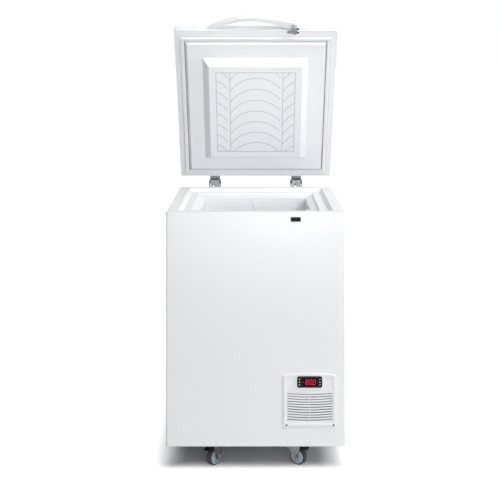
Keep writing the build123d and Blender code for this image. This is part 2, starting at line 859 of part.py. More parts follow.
def condenser():
    """Air cooled condenser behind the fascia: fins on both faces of a core between end plates."""
    low = pan_z + pan_sheet
    x0 = fascia_mid - condenser_width / 2
    x1 = x0 + condenser_width
    y0 = condenser_gap
    y1 = y0 + condenser_depth
    core = block(x0, x1, y0, y1, low, low + condenser_height)
    pitch = condenser_width / fin_count
    for fin in range(fin_count - 1):
        x = x0 + (fin + 1) * pitch
        for face, depth in ((y0 - 1, fin_depth + 1), (y1 - fin_depth, fin_depth + 1)):
            core = core - block(x - pitch / 3, x + pitch / 3, face, face + depth, low + 8,
                                low + condenser_height - 8)
    return core


def fan_centre():
    """Axis of the condenser fan, as (x, z)."""
    return (fascia_mid, pan_z + pan_sheet + condenser_height / 2)


def fan_shroud():
    """Sheet duct on the back of the condenser with a round throat and a motor bracket."""
    x, z = fan_centre()
    y0 = condenser_gap + condenser_depth
    half = condenser_width / 2
    low = pan_z + pan_sheet
    tray = block(x - half, x + half, y0, y0 + shroud_depth, low, low + condenser_height)
    hollow = block(x - half + 2, x + half - 2, y0 - 1, y0 + shroud_depth - 2, low + 2,
                   low + condenser_height - 2)
    duct = tray - hollow - rod(x, y0 - 1, z, fan_diameter + 2 * fan_clearance, shroud_depth + 2, "Y")
    back = y0 + shroud_depth
    arm = fan_diameter / 2 + fan_clearance
    bar = block(x - arm - 8, x + arm + 8, back + motor_reach, back + motor_reach + 3, z - 7, z + 7)
    posts = [block(x + sign * (arm + 5) - 3, x + sign * (arm + 5) + 3, back, back + motor_reach, z - 7, z + 7)
             for sign in (-1, 1)]
    return duct + bar + posts[0] + posts[1]


def fan_motor():
    """Fan motor on the front of its bracket, with its shaft towards the condenser."""
    x, z = fan_centre()
    mount = condenser_gap + condenser_depth + shroud_depth + motor_reach
    body = facet_rod(x, mount - fan_motor_length, z, fan_motor_diameter, fan_motor_length, 12, "Y")
    return body + rod(x, fan_front(), z, shaft_diameter, mount - fan_motor_length - fan_front(), "Y")


def fan_front():
    """Front face of the fan hub."""
    back = condenser_gap + condenser_depth + shroud_depth + motor_reach - fan_motor_length
    return back - fan_hub_depth - 1.0


def fan_blade():
    """Axial fan: hub and pitched blades."""
    x, z = fan_centre()
    bore = rod(0, 0, -1, shaft_diameter + 2 * axle_fit, fan_hub_depth + 2)
    root = fan_hub_diameter / 2 - 4
    span = fan_diameter / 2 - 3 - root
    blade = Pos(root + span / 2, 0, fan_hub_depth / 2) * Rot(28, 0, 0) * Box(span, blade_chord, 1.8)
    rotor = rod(0, 0, 0, fan_hub_diameter, fan_hub_depth)
    for number in range(blade_count):
        rotor = rotor + Rot(0, 0, 360 / blade_count * number) * blade
    return Pos(x, fan_front(), z) * Rot(-90, 0, 0) * (rotor - bore)


def drier_place():
    """Foot of the filter drier, which stands beside the condenser."""
    return (fascia_left - 40.0, condenser_gap + 20.0, pan_z + pan_sheet)


def filter_drier():
    """Copper filter drier, standing on the pan in its clip."""
    x, y, z = drier_place()
    foot = block(x - 15, x + 15, y - 12, y + 12, z, z + 4)
    return foot + rod(x, y, z + 4, drier_diameter, drier_length)


def refrigerant_tubes():
    """Discharge, liquid and suction lines between compressor, condenser, drier and evaporator."""
    base = pan_z + pan_sheet
    top = base + mount_height + feet_sheet + compressor_height
    out_z = base + condenser_height - 60
    face = compressor_y - compressor_diameter / 2
    x0 = fascia_mid - condenser_width / 2
    discharge = tube_along([(compressor_x, face, out_z), (compressor_x, condenser_gap + 30, out_z),
                            (x0, condenser_gap + 30, out_z)], discharge_diameter)
    dx, dy, dz = drier_place()
    head = dz + 4 + drier_length
    liquid = tube_along([(x0, dy, head + 16), (dx, dy, head + 16), (dx, dy, head)], discharge_diameter)
    back = cabinet_depth - 60
    suction = tube_along([(compressor_x, compressor_y, top), (compressor_x, compressor_y, top + 22),
                          (compressor_x, back, top + 22), (compressor_x, back, bulkhead_z)], suction_diameter)
    return joined([discharge, liquid, suction])


def electrical_box():
    """Covered control box on the pan behind the power inlet."""
    x1 = half_width - 20
    y1 = cabinet_depth - inlet_depth - 12
    low = pan_z + pan_sheet
    box = block(x1 - box_width, x1, y1 - box_depth, y1, low, low + box_height)
    cover = block(x1 - box_width - 2, x1 + 2, y1 - box_depth - 2, y1 + 2, low + box_height - 10,
                  low + box_height + 2)
    return box + cover


def inlet_body(extra):
    """The part of the power inlet that passes the back panel."""
    z = pan_z + inlet_above_pan
    half_x = inlet_width / 2 - 4 + extra
    half_z = inlet_height / 2 - 2 + extra
    return block(inlet_x - half_x, inlet_x + half_x, cabinet_depth - inlet_depth, cabinet_depth,
                 z - half_z, z + half_z)


def power_inlet():
    """Three pin appliance inlet with its flange."""
    z = pan_z + inlet_above_pan
    flange = upright(Pos(inlet_x, z) * RectangleRounded(inlet_width, inlet_height, 4), cabinet_depth,
                     cabinet_depth + 2.5)
    socket = block(inlet_x - 12, inlet_x + 12, cabinet_depth - 15, cabinet_depth + 4, z - 8, z + 8)
    body = inlet_body(0) + flange - socket
    for x, level in ((-7, -2), (0, 2.5), (7, -2)):
        body = body + block(inlet_x + x - 1, inlet_x + x + 1, cabinet_depth - 16, cabinet_depth - 3,
                            z + level - 2, z + level + 2)
    return body


def rear_grille():
    """Louvred cover over the opening in the back panel."""
    low = pan_z + grille_above_pan
    x0 = grille_x - grille_width / 2
    x1 = grille_x + grille_width / 2
    plate = block(x0, x1, cabinet_depth, cabinet_depth + grille_sheet, low, low + grille_height)
    pitch = (grille_height - 36) / grille_slots
    for row in range(grille_slots):
        z = low + 18 + (row + 0.5) * pitch
        for side in (-1, 1):
            x = grille_x + side * grille_width / 4
            half = grille_width / 4 - 14
            plate = plate - block(x - half, x + half, cabinet_depth - 1, cabinet_depth + 3, z - 2.5, z + 2.5)
    return plate


def cover_screws():
    """Screw heads of the fascia and the rear grille."""
    low = pan_z + fascia_low + screw_inset
    heads = [facet_rod(x, -fascia_proud - screw_head, low, screw_diameter, screw_head, 6, "Y")
             for x in (fascia_left + screw_inset + 6, fascia_right - screw_inset - 3)]
    base = pan_z + grille_above_pan
    for x in (grille_x - grille_width / 2 + screw_inset, grille_x + grille_width / 2 - screw_inset):
        for z in (base + 8, base + grille_height - 8):
            heads.append(facet_rod(x, cabinet_depth + grille_sheet, z, screw_diameter, screw_head, 6, "Y"))
    return joined(heads)


def probe_cover():
    """Narrow channel on the back wall of the chamber that covers the temperature probe."""
    back = cabinet_depth - insulation
    cover = block(-9, 12, back - 3, back, chamber_z + 60, seam_z)
    return chamfer(cover.edges().filter_by(Axis.Z).group_by(Axis.Y)[0], 2.0)


def liner_buttons():
    """Two blind plugs in the back wall of the chamber."""
    back = cabinet_depth - insulation
    return joined([facet_rod(x, back - 1.5, rim_z - 48.0, 8, 1.5, 8, "Y") for x in (-74.0, -42.0)])


def lid_opened(shape):
    """Swings a piece of the closed lid to its open rest."""
    about = Pos(0, pivot_y, pivot_z)
    return about * Rot(-open_angle, 0, 0) * Pos(0, -pivot_y, -pivot_z) * shape


def rear_reach():
    """How far back the hinge cheeks stand, the rearmost piece with the lid open."""
    return pivot_y + cheek_reach


def front_reach():
    """How far forward the foremost piece stands at rest."""
    return fascia_proud + controller_proud + key_travel


def all_pieces():
    """Every node of the part by name."""
    pieces = {
        "outer_shell": outer_shell(),
        "back_panel": back_panel(),
        "base_pan": base_pan(),
        "bulkhead": bulkhead(),
        "foam_insulation": foam_insulation(),
        "inner_liner": inner_liner(),
        "evaporator_coil": evaporator_coil(),
        "rim_collar": rim_collar(),
        "front_fascia": front_fascia(),
        "cover_screws": cover_screws(),
        "controller_housing": controller_housing(),
        "display_window": window_block(-fascia_proud - controller_proud),
        "indicator_lamps": indicator_lamps(),
        "strike_plate": strike_plate(),
        "compressor": compressor(),
        "compressor_mounts": compressor_mounts(),
        "condenser": condenser(),
        "fan_shroud": fan_shroud(),
        "fan_motor": fan_motor(),
        "fan_blade": fan_blade(),
        "filter_drier": filter_drier(),
        "refrigerant_tubes": refrigerant_tubes(),
        "electrical_box": electrical_box(),
        "power_inlet": power_inlet(),
        "rear_grille": rear_grille(),
        "hinge_bracket_left": hinge_bracket(hinge_centres["left"]),
        "hinge_bracket_right": hinge_bracket(hinge_centres["right"]),
        "hinge_pins": hinge_pins(),
        "hinge_springs": hinge_springs(),
        "caster_plates": caster_plates(),
        "probe_cover": probe_cover(),
        "liner_buttons": liner_buttons(),
    }
    for name, level in zip(("key_down", "key_set", "key_up"), key_levels()):
        pieces[name] = control_key(level)
    lid = {
        "lid_outer_skin": lid_outer_skin(),
        "lid_foam": lid_foam(),
        "lid_liner": lid_liner(),
        "lid_gasket": lid_gasket(),
        "hinge_leaf_left": hinge_leaf(hinge_centres["left"]),
        "hinge_leaf_right": hinge_leaf(hinge_centres["right"]),
        "handle": handle(),
        "handle_screws": handle_screws(),
        "lock_barrel": lock_barrel(),
        "lock_hook": lock_hook(),
    }
    for name, shape in lid.items():
        pieces[name] = lid_opened(shape)
    for corner in caster_turns:
        place = caster_place(corner)
        fork = caster_fork()
        if corner.startswith("front"):
            fork = fork + pedal_pin()
            pieces["brake_pedal_" + corner] = place * brake_pedal()
        pieces["caster_fork_" + corner] = place * fork
        pieces["caster_wheel_" + corner] = place * caster_wheel()
    return pieces


def main():
    """Writes one STEP file per node."""
    os.makedirs("parts", exist_ok=True)
    shift = Pos(0, (front_reach() - rear_reach()) / 2, 0)
    for name, shape in all_pieces().items():
        moved = shift * shape
        moved.label = name
        export_step(moved, os.path.join("parts", name + ".step"))
        print(name, len(moved.solids()))


main()
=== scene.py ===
import bpy
import json
import math
from mathutils import Matrix, Vector


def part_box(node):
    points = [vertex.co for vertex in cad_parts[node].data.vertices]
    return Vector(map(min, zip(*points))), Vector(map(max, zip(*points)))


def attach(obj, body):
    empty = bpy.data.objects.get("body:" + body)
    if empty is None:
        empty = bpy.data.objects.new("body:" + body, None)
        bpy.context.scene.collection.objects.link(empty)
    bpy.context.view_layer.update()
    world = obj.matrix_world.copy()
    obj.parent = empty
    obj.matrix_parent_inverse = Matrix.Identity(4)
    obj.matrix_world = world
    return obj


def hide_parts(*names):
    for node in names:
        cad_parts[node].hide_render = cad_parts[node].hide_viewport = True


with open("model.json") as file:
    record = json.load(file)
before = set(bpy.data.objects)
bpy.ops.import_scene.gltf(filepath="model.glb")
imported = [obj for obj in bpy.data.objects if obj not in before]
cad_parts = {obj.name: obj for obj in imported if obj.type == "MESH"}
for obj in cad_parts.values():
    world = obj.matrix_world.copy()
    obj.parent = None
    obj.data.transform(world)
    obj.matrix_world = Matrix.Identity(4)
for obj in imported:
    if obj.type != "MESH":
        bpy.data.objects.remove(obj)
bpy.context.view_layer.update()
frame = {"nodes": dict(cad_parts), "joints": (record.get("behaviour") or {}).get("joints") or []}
nodes = frame["nodes"]
joints = {joint["name"]: joint for joint in frame["joints"]}
print("frame loaded with", len(nodes), "nodes")


# Colour and node helpers

def colour(text):
    # Linear colour with alpha from a written sRGB colour
    parts = [int(text[i:i + 2], 16) / 255 for i in (1, 3, 5)]
    return [p / 12.92 if p <= 0.04045 else ((p + 0.055) / 1.055) ** 2.4 for p in parts] + [1.0]


def addNode(tree, kind, settings=None, links=None):
    # One shader node, with its settings by name and its inputs linked from other sockets or set to values
    node = tree.nodes.new(kind)
    for name, value in (settings or {}).items():
        setattr(node, name, value)
    for name, value in (links or {}).items():
        if isinstance(value, bpy.types.NodeSocket):
            tree.links.new(value, node.inputs[name])
        else:
            node.inputs[name].default_value = value
    return node


def perMm(size):
    # Texture scale that gives features of about this many millimetres
    return 1000.0 / size


def startMaterial(name, base, roughness, metallic=0.0):
    material = bpy.data.materials.new(name)
    material.use_nodes = True
    tree = material.node_tree
    shader = tree.nodes["Principled BSDF"]
    shader.inputs["Base Color"].default_value = colour(base)
    shader.inputs["Roughness"].default_value = roughness
    shader.inputs["Metallic"].default_value = metallic
    place = addNode(tree, "ShaderNodeTexCoord")
    return material, tree, shader, place.outputs["Object"]


def spread(tree, shader, where, socket, size, low, high, detail=3.0):
    # Lets a plain value of the shader wander between two values over features of the given size
    noise = addNode(tree, "ShaderNodeTexNoise", None,
                    {"Vector": where, "Scale": perMm(size), "Detail": detail})
    ramp = addNode(tree, "ShaderNodeMapRange", None,
                   {"Value": noise.outputs["Fac"], "From Min": 0.3, "From Max": 0.7,
                    "To Min": low, "To Max": high})
    tree.links.new(ramp.outputs["Result"], shader.inputs[socket])
    return noise


def tint(tree, shader, where, size, first, second, stretch=(1, 1, 1)):
    # Lets the base colour wander between two near colours
    shaped = addNode(tree, "ShaderNodeMapping", None, {"Vector": where, "Scale": stretch})
    noise = addNode(tree, "ShaderNodeTexNoise", None,
                    {"Vector": shaped.outputs["Vector"], "Scale": perMm(size), "Detail": 4.0})
    mix = addNode(tree, "ShaderNodeMix", {"data_type": "RGBA"}, {"Factor": noise.outputs["Fac"]})
    mix.inputs["A"].default_value = colour(first)
    mix.inputs["B"].default_value = colour(second)
    tree.links.new(mix.outputs["Result"], shader.inputs["Base Color"])
    return noise


def relief(tree, shader, height, strength, depthMm):
    bump = addNode(tree, "ShaderNodeBump", None,
                   {"Height": height, "Strength": strength, "Distance": depthMm / 1000.0})
    tree.links.new(bump.outputs["Normal"], shader.inputs["Normal"])


def powderCoat():
    # Sprayed polyester powder melted in an oven: a flowed skin whose faint orange peel breaks up highlights
    material, tree, shader, where = startMaterial("powder_coat", "#F3F4F6", 0.38)
    peel = addNode(tree, "ShaderNodeTexNoise", None, {"Vector": where, "Scale": perMm(2.2), "Detail": 2.0})
    relief(tree, shader, peel.outputs["Fac"], 0.05, 0.15)
    spread(tree, shader, where, "Roughness", 90.0, 0.34, 0.44)
    tint(tree, shader, where, 260.0, "#F1F2F5", "#F4F5F7")
    return material


def mouldedPlastic(name="formed_styrene"):
    # Vacuum formed styrene sheet: softer and a little warmer than coated steel, with a fine pull grain
    material, tree, shader, where = startMaterial(name, "#F2F3F5", 0.42)
    grain = addNode(tree, "ShaderNodeTexNoise", None, {"Vector": where, "Scale": perMm(0.9), "Detail": 3.0})
    relief(tree, shader, grain.outputs["Fac"], 0.06, 0.08)
    spread(tree, shader, where, "Roughness", 60.0, 0.38, 0.5)
    tint(tree, shader, where, 180.0, "#F0F1F4", "#F4F4F6")
    return material


def embossedPlasticPaintedShade():
    # The same styrene sheet where it is embossed, with painted shade: ambient occlusion darkens the base
    # colour in the thin lines, which draws the pattern
    material = mouldedPlastic("embossed_styrene_painted_shade")
    tree = material.node_tree
    shader = tree.nodes["Principled BSDF"]
    socket = shader.inputs["Base Color"]
    base = socket.links[0].from_socket
    lineWidth = 0.004
    # Painted shade: occlusion over 4 mm darkens the base colour in the lines, down to 0.15 of it
    shade = addNode(tree, "ShaderNodeAmbientOcclusion", {"samples": 8}, {"Distance": lineWidth})
    depth = addNode(tree, "ShaderNodeMapRange", None,
                    {"Value": shade.outputs["AO"], "From Min": 0.35, "From Max": 0.9,
                     "To Min": 0.15, "To Max": 1.0})
    mix = addNode(tree, "ShaderNodeMix", {"data_type": "RGBA", "blend_type": "MULTIPLY"})
    mix.inputs["Factor"].default_value = 1.0
    tree.links.new(base, mix.inputs["A"])
    tree.links.new(depth.outputs["Result"], mix.inputs["B"])
    tree.links.new(mix.outputs["Result"], socket)
    return material


def trimPlastic():
    # Injection moulded ABS: glossier, with faint flow marks that soften the reflections
    material, tree, shader, where = startMaterial("moulded_trim", "#F1F2F4", 0.3)
    flow = addNode(tree, "ShaderNodeTexNoise", None, {"Vector": where, "Scale": perMm(14.0), "Detail": 2.0})
    relief(tree, shader, flow.outputs["Fac"], 0.08, 0.1)
    spread(tree, shader, where, "Roughness", 40.0, 0.27, 0.36)
    tint(tree, shader, where, 90.0, "#EFF0F3", "#F3F4F6")
    return material


def stuccoLiner():
    # Embossed and enamelled aluminium sheet: small dimples that scatter light down in the chamber
    material, tree, shader, where = startMaterial("stucco_liner", "#F0F1F4", 0.4)
    cells = addNode(tree, "ShaderNodeTexVoronoi", {"feature": "SMOOTH_F1"},
                    {"Vector": where, "Scale": perMm(5.0)})
    relief(tree, shader, cells.outputs["Distance"], 0.35, 0.3)
    tint(tree, shader, where, 120.0, "#EEEFF2", "#F2F3F5")
    return material


def softSeal():
    # Extruded white vinyl: matt and slightly dusty
    material, tree, shader, where = startMaterial("seal_vinyl", "#F1F3F5", 0.62)
    dust = addNode(tree, "ShaderNodeTexNoise", None, {"Vector": where, "Scale": perMm(3.0), "Detail": 4.0})
    relief(tree, shader, dust.outputs["Fac"], 0.12, 0.12)
    tint(tree, shader, where, 30.0, "#EFF1F3", "#F4F5F7")
    return material


def blackPlastic(name="black_plastic", base="#131416", roughness=0.42):
    # Glass filled nylon with a spark eroded grain: small glints on an even black
    material, tree, shader, where = startMaterial(name, base, roughness)
    shader.inputs["Specular IOR Level"].default_value = 0.3
    grain = addNode(tree, "ShaderNodeTexVoronoi", None, {"Vector": where, "Scale": perMm(0.7)})
    relief(tree, shader, grain.outputs["Distance"], 0.25, 0.05)
    spread(tree, shader, where, "Roughness", 12.0, roughness - 0.06, roughness + 0.1)
    return material


def zincPlate():
    # Bright zinc over pressed steel: faint drawing lines and cloudy passivation
    material, tree, shader, where = startMaterial("zinc_plate", "#96999D", 0.3, 1.0)
    tint(tree, shader, where, 9.0, "#777B80", "#AFB2B6")
    spread(tree, shader, where, "Roughness", 6.0, 0.22, 0.42)
    lines = addNode(tree, "ShaderNodeMapping", None, {"Vector": where, "Scale": (1, 1, 14)})
    scratch = addNode(tree, "ShaderNodeTexNoise", None,
                      {"Vector": lines.outputs["Vector"], "Scale": perMm(4.0), "Detail": 3.0})
    relief(tree, shader, scratch.outputs["Fac"], 0.12, 0.04)
    return material


def galvanised():
    # Hot dipped sheet: frozen zinc crystals of different tone
    material, tree, shader, where = startMaterial("galvanised_sheet", "#AEB2B5", 0.4, 1.0)
    spangle = addNode(tree, "ShaderNodeTexVoronoi", None, {"Vector": where, "Scale": perMm(11.0)})
    mix = addNode(tree, "ShaderNodeMix", {"data_type": "RGBA"}, {"Factor": spangle.outputs["Color"]})
    mix.inputs["A"].default_value = colour("#9DA1A5")
    mix.inputs["B"].default_value = colour("#C2C5C8")
    tree.links.new(mix.outputs["Result"], shader.inputs["Base Color"])
    spread(tree, shader, where, "Roughness", 11.0, 0.32, 0.5)
    return material


def castorRubber():
    # Grey thermoplastic rubber tread: dull, picked up a little dirt from the floor
    material, tree, shader, where = startMaterial("tread_rubber", "#4C474F", 0.66)
    tint(tree, shader, where, 7.0, "#403C43", "#5A555D")
    grain = addNode(tree, "ShaderNodeTexNoise", None, {"Vector": where, "Scale": perMm(1.2), "Detail": 4.0})
    relief(tree, shader, grain.outputs["Fac"], 0.3, 0.1)
    return material


def wheelNylon():
    # Pale blue grey polypropylene wheel body with soft mould gloss
    material, tree, shader, where = startMaterial("wheel_body", "#C4D2DE", 0.36)
    tint(tree, shader, where, 12.0, "#BCCBD8", "#CDD9E3")
    spread(tree, shader, where, "Roughness", 8.0, 0.3, 0.45)
    return material


def blackEnamel():
    # Baked enamel on the compressor shell: deep black with a slightly wavy skin
    material, tree, shader, where = startMaterial("black_enamel", "#0E0F10", 0.28)
    wave = addNode(tree, "ShaderNodeTexNoise", None, {"Vector": where, "Scale": perMm(6.0), "Detail": 2.0})
    relief(tree, shader, wave.outputs["Fac"], 0.12, 0.15)
    return material


def drawnCopper():
    # Soft copper tube, a little oxidised: brown stains over the bright metal
    material, tree, shader, where = startMaterial("drawn_copper", "#B4683F", 0.3, 1.0)
    tint(tree, shader, where, 10.0, "#8A4B2D", "#C9794B")
    spread(tree, shader, where, "Roughness", 5.0, 0.22, 0.45)
    return material


def bareAluminium():
    # Rolled fin stock and cast blades: clean, finely streaked along the rolling direction
    material, tree, shader, where = startMaterial("bare_aluminium", "#C9CCCF", 0.34, 1.0)
    tint(tree, shader, where, 3.0, "#BBBEC2", "#D5D8DA", (1, 1, 12))
    return material


def nickelPlate():
    # Polished nickel on the lock barrel: bright, with fine turning marks
    material, tree, shader, where = startMaterial("nickel_plate", "#CFCDC8", 0.16, 1.0)
    spread(tree, shader, where, "Roughness", 2.0, 0.12, 0.26)
    return material


def pouredFoam():
    # Polyurethane foam: closed cells show as fine pits
    material, tree, shader, where = startMaterial("poured_foam", "#E4D6A6", 0.85)
    cells = addNode(tree, "ShaderNodeTexVoronoi", None, {"Vector": where, "Scale": perMm(1.6)})
    relief(tree, shader, cells.outputs["Distance"], 0.5, 0.4)
    return material


def darkWindow():
    # Smoked red acrylic in front of the digits: nearly black until lit
    material, tree, shader, where = startMaterial("smoked_window", "#0E0305", 0.2)
    shader.inputs["Specular IOR Level"].default_value = 0.12
    spread(tree, shader, where, "Roughness", 10.0, 0.18, 0.26)
    return material


def litDigit(name, base, strength):
    # Light emitting segment behind the window: an even glow with a slightly hotter middle
    material, tree, shader, where = startMaterial(name, base, 0.4)
    glow = addNode(tree, "ShaderNodeTexNoise", None, {"Vector": where, "Scale": perMm(3.0)})
    power = addNode(tree, "ShaderNodeMapRange", None,
                    {"Value": glow.outputs["Fac"], "To Min": strength * 0.9, "To Max": strength * 1.1})
    shader.inputs["Emission Color"].default_value = colour(base)
    tree.links.new(power.outputs["Result"], shader.inputs["Emission Strength"])
    return material


coats = {
    "powder": powderCoat(), "styrene": mouldedPlastic(), "embossed": embossedPlasticPaintedShade(), "trim": trimPlastic(),
    "stucco": stuccoLiner(), "seal": softSeal(), "black": blackPlastic(),
    "mountRubber": blackPlastic("mount_rubber", "#1E1F21", 0.6),
    "zinc": zincPlate(), "galvanised": galvanised(), "tread": castorRubber(), "wheel": wheelNylon(),
    "enamel": blackEnamel(), "copper": drawnCopper(), "aluminium": bareAluminium(), "nickel": nickelPlate(),
    "foam": pouredFoam(), "window": darkWindow(), "digit": litDigit("lit_digit", "#DB0D42", 1.2),
    "mark": litDigit("lit_mark", "#E9ECEE", 0.35),
}
print("materials made:", len(coats))


# Mesh helpers

def toMetres(points):
    return [Vector(p) / 1000.0 for p in points]


def addMesh(name, points, faces, coat, body, place=None, smoothAngle=35.0, bevel=None):
    # A finished piece from points in millimetres, put in place and fixed to its body
    mesh = bpy.data.meshes.new(name)
    mesh.from_pydata(toMetres(points), [], faces)
    mesh.validate()
    if place is not None:
        mesh.transform(place)
    mesh.shade_smooth()
    mesh.set_sharp_from_angle(angle=math.radians(smoothAngle))
    piece = bpy.data.objects.new(name, mesh)
    bpy.context.scene.collection.objects.link(piece)
    mesh.materials.append(coats[coat])
    if bevel:
        softenEdges(piece, bevel)
    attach(piece, body)
    return piece


def softenEdges(piece, widthMm, weld=False):
    if weld:
        welding = piece.modifiers.new("weld", "WELD")
        welding.merge_threshold = 0.00001
    bevel = piece.modifiers.new("soft_edges", "BEVEL")
    bevel.width = widthMm / 1000.0
    bevel.segments = 3
    bevel.limit_method = "ANGLE"
    bevel.angle_limit = math.radians(38)
    bevel.use_clamp_overlap = True
    bevel.harden_normals = False


def merged(parts):
    # Several (points, faces) pairs as one
    points, faces = [], []
    for more, moreFaces in parts:
        start = len(points)
        points += more
        faces += [[i + start for i in face] for face in moreFaces]
    return points, faces


def moved(part, matrix):
    points, faces = part
    return [tuple(matrix @ Vector(p)) for p in points], faces


def turned(profile, steps=48, axis="Z"):
    # A lathe form from (radius, height) pairs, closed where the radius is nought
    points, faces, rings = [], [], []
    for radius, height in profile:
        if radius < 1e-6:
            rings.append([len(points)] * steps)
            points.append((0.0, 0.0, height))
        else:
            rings.append(list(range(len(points), len(points) + steps)))
            angles = [2 * math.pi * i / steps for i in range(steps)]
            points += [(radius * math.cos(a), radius * math.sin(a), height) for a in angles]
    for low, high in zip(rings, rings[1:]):
        for i in range(steps):
            j = (i + 1) % steps
            face = [low[i], low[j], high[j], high[i]]
            face = [v for k, v in enumerate(face) if v != face[k - 1]]
            if len(face) > 2:
                faces.append(face)
    if axis == "X":
        return moved((points, faces), Matrix.Rotation(math.pi / 2, 4, "Y"))
    if axis == "Y":
        return moved((points, faces), Matrix.Rotation(-math.pi / 2, 4, "X"))
    return points, faces


def slab(outline, low, high):
    # An outline in X and Y raised from low to high
    count = len(outline)
    points = [(x, y, low) for x, y in outline] + [(x, y, high) for x, y in outline]
    faces = [list(range(count))[::-1], list(range(count, 2 * count))]
    faces += [[i, (i + 1) % count, (i + 1) % count + count, i + count] for i in range(count)]
    return points, faces


def brick(x0, x1, y0, y1, z0, z1):
    return slab([(x0, y0), (x1, y0), (x1, y1), (x0, y1)], z0, z1)


def roundRect(width, height, radius, steps=6):
    points = []
    for cx, cy, start in ((1, 1, 0), (-1, 1, 90), (-1, -1, 180), (1, -1, 270)):
        for i in range(steps + 1):
            a = math.radians(start + 90 * i / steps)
            points.append((cx * (width / 2 - radius) + radius * math.cos(a),
                           cy * (height / 2 - radius) + radius * math.sin(a)))
    return points


def loft(sections, closedEnds=True):
    # Skin over rings with equal point counts
    count = len(sections[0])
    points = [p for ring in sections for p in ring]
    faces = []
    for s in range(len(sections) - 1):
        for i in range(count):
            j = (i + 1) % count
            faces.append([s * count + i, s * count + j, (s + 1) * count + j, (s + 1) * count + i])
    if closedEnds:
        faces.append(list(range(count))[::-1])
        faces.append(list(range(len(points) - count, len(points))))
    return points, faces


def pipe(path, radius, steps=12):
    # A round wire along points
    rings = []
    up = Vector((0.0, 0.0, 1.0))
    for i, p in enumerate(path):
        here = Vector(p)
        ahead = Vector(path[min(i + 1, len(path) - 1)]) - Vector(path[max(i - 1, 0)])
        ahead.normalize()
        side = ahead.cross(up)
        if side.length < 1e-4:
            side = ahead.cross(Vector((1.0, 0.0, 0.0)))
        side.normalize()
        over = side.cross(ahead)
        rings.append([tuple(here + side * radius * math.cos(2 * math.pi * k / steps)
                            + over * radius * math.sin(2 * math.pi * k / steps)) for k in range(steps)])
    return loft(rings)


def crossHead(diameter, height):
    # A pan head screw with a cross recess, standing on the XY plane
    r = diameter / 2
    dome = [(r, height * 0.45), (r * 0.86, height * 0.8), (r * 0.55, height)]
    return turned([(0, 0), (r, 0)] + dome + [(0, height)], 28)


def crossRecessShade(diameter, height):
    # Painted shade of the cross recess: two thin black inlays level with the screw head
    long, thin = diameter * 0.3, diameter * 0.07
    bottom, top = height - 0.3, height + 0.03
    across = brick(-long, long, -thin, thin, bottom, top)
    along = brick(-thin, thin, -long, long, bottom, top)
    return merged([across, along])


# Places read from the frame

def jointPlace(name):
    return Vector(joints[name]["pos_m"])


def milli(vector):
    return Vector(vector) * 1000.0


openAngle = math.radians(59.0)
pivot = jointPlace("lid_hinge")
lidTurn = Matrix.Translation(pivot) @ Matrix.Rotation(-openAngle, 4, "X") @ Matrix.Translation(-pivot)
lidBack = lidTurn.inverted()


def closedBox(node):
    # Corners of a lid node in millimetres, as it lies with the lid shut
    points = [milli(lidBack @ vertex.co) for vertex in nodes[node].data.vertices]
    low = Vector([min(p[i] for p in points) for i in range(3)])
    high = Vector([max(p[i] for p in points) for i in range(3)])
    return low, high


def boxOf(node):
    low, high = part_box(node)
    return milli(low), milli(high)


# Looks of the frame's own pieces

nodeCoats = {
    "outer_shell": "powder", "back_panel": "galvanised", "base_pan": "galvanised",
    "bulkhead": "galvanised", "foam_insulation": "foam", "inner_liner": "stucco",
    "evaporator_coil": "copper", "rim_collar": "styrene", "front_fascia": "trim",
    "controller_housing": "black", "display_window": "window", "strike_plate": "black",
    "compressor": "enamel", "compressor_mounts": "mountRubber", "condenser": "aluminium",
    "fan_shroud": "galvanised", "fan_motor": "black", "fan_blade": "aluminium",
    "filter_drier": "copper", "refrigerant_tubes": "copper", "electrical_box": "black",
    "power_inlet": "black", "rear_grille": "powder", "hinge_bracket_left": "zinc",
    "hinge_bracket_right": "zinc", "hinge_pins": "zinc", "hinge_springs": "zinc",
    "caster_plates": "zinc", "probe_cover": "trim", "liner_buttons": "trim", "key_down": "mark",
    "key_set": "mark", "key_up": "mark", "indicator_lamps": "mark", "lid_outer_skin": "powder",
    "lid_foam": "foam", "lid_liner": "embossed", "lid_gasket": "seal", "hinge_leaf_left": "zinc",
    "hinge_leaf_right": "zinc", "handle": "trim", "handle_screws": "zinc", "cover_screws": "zinc",
    "lock_barrel": "nickel", "lock_hook": "zinc",
}
edgeWidths = {
    "rim_collar": 1.6, "lid_liner": 0.7, "front_fascia": 0.5, "strike_plate": 0.3,
    "hinge_bracket_left": 0.4, "hinge_bracket_right": 0.4, "hinge_leaf_left": 0.4,
    "hinge_leaf_right": 0.4, "lock_hook": 0.6, "controller_housing": 0.4, "inner_liner": 3.0,
    "electrical_box": 1.0, "power_inlet": 0.4, "probe_cover": 0.6, "brake_pedal": 0.8,
    "caster_fork": 0.7, "lid_gasket": 0.8, "outer_shell": 0.3,
}
for name, node in nodes.items():
    family = name
    for start, coat in (("caster_fork", "zinc"), ("caster_wheel", "wheel"), ("brake_pedal", "black")):
        if name.startswith(start):
            family = start
            nodeCoats[name] = coat
    node.data.materials.clear()
    node.data.materials.append(coats[nodeCoats[name]])
    if family in edgeWidths:
        softenEdges(node, edgeWidths[family], weld=True)
print("frame nodes finished")


# Handle: arched grip with rounded section, and the lock housing at its right end

handleLook = {"barSetback": 8.0, "barThickness": 18.0, "gapLeft": -135.0, "gapRight": 104.0, "apex": -18.0,
              "gapRise": 31.0, "rimRound": 4.2, "stations": 72, "sectionSteps": 5, "housingDiameter": 27.0,
              "housingRound": 3.0, "barrelGap": 0.2}


def archHeight(x, apex, end, rise):
    # How far a tangent arc stands out at x when it runs from its apex down to its end
    run = abs(end - apex)
    radius = (run * run + rise * rise) / (2 * rise)
    offset = min(abs(x - apex), run)
    return rise - radius + math.sqrt(radius * radius - offset * offset)


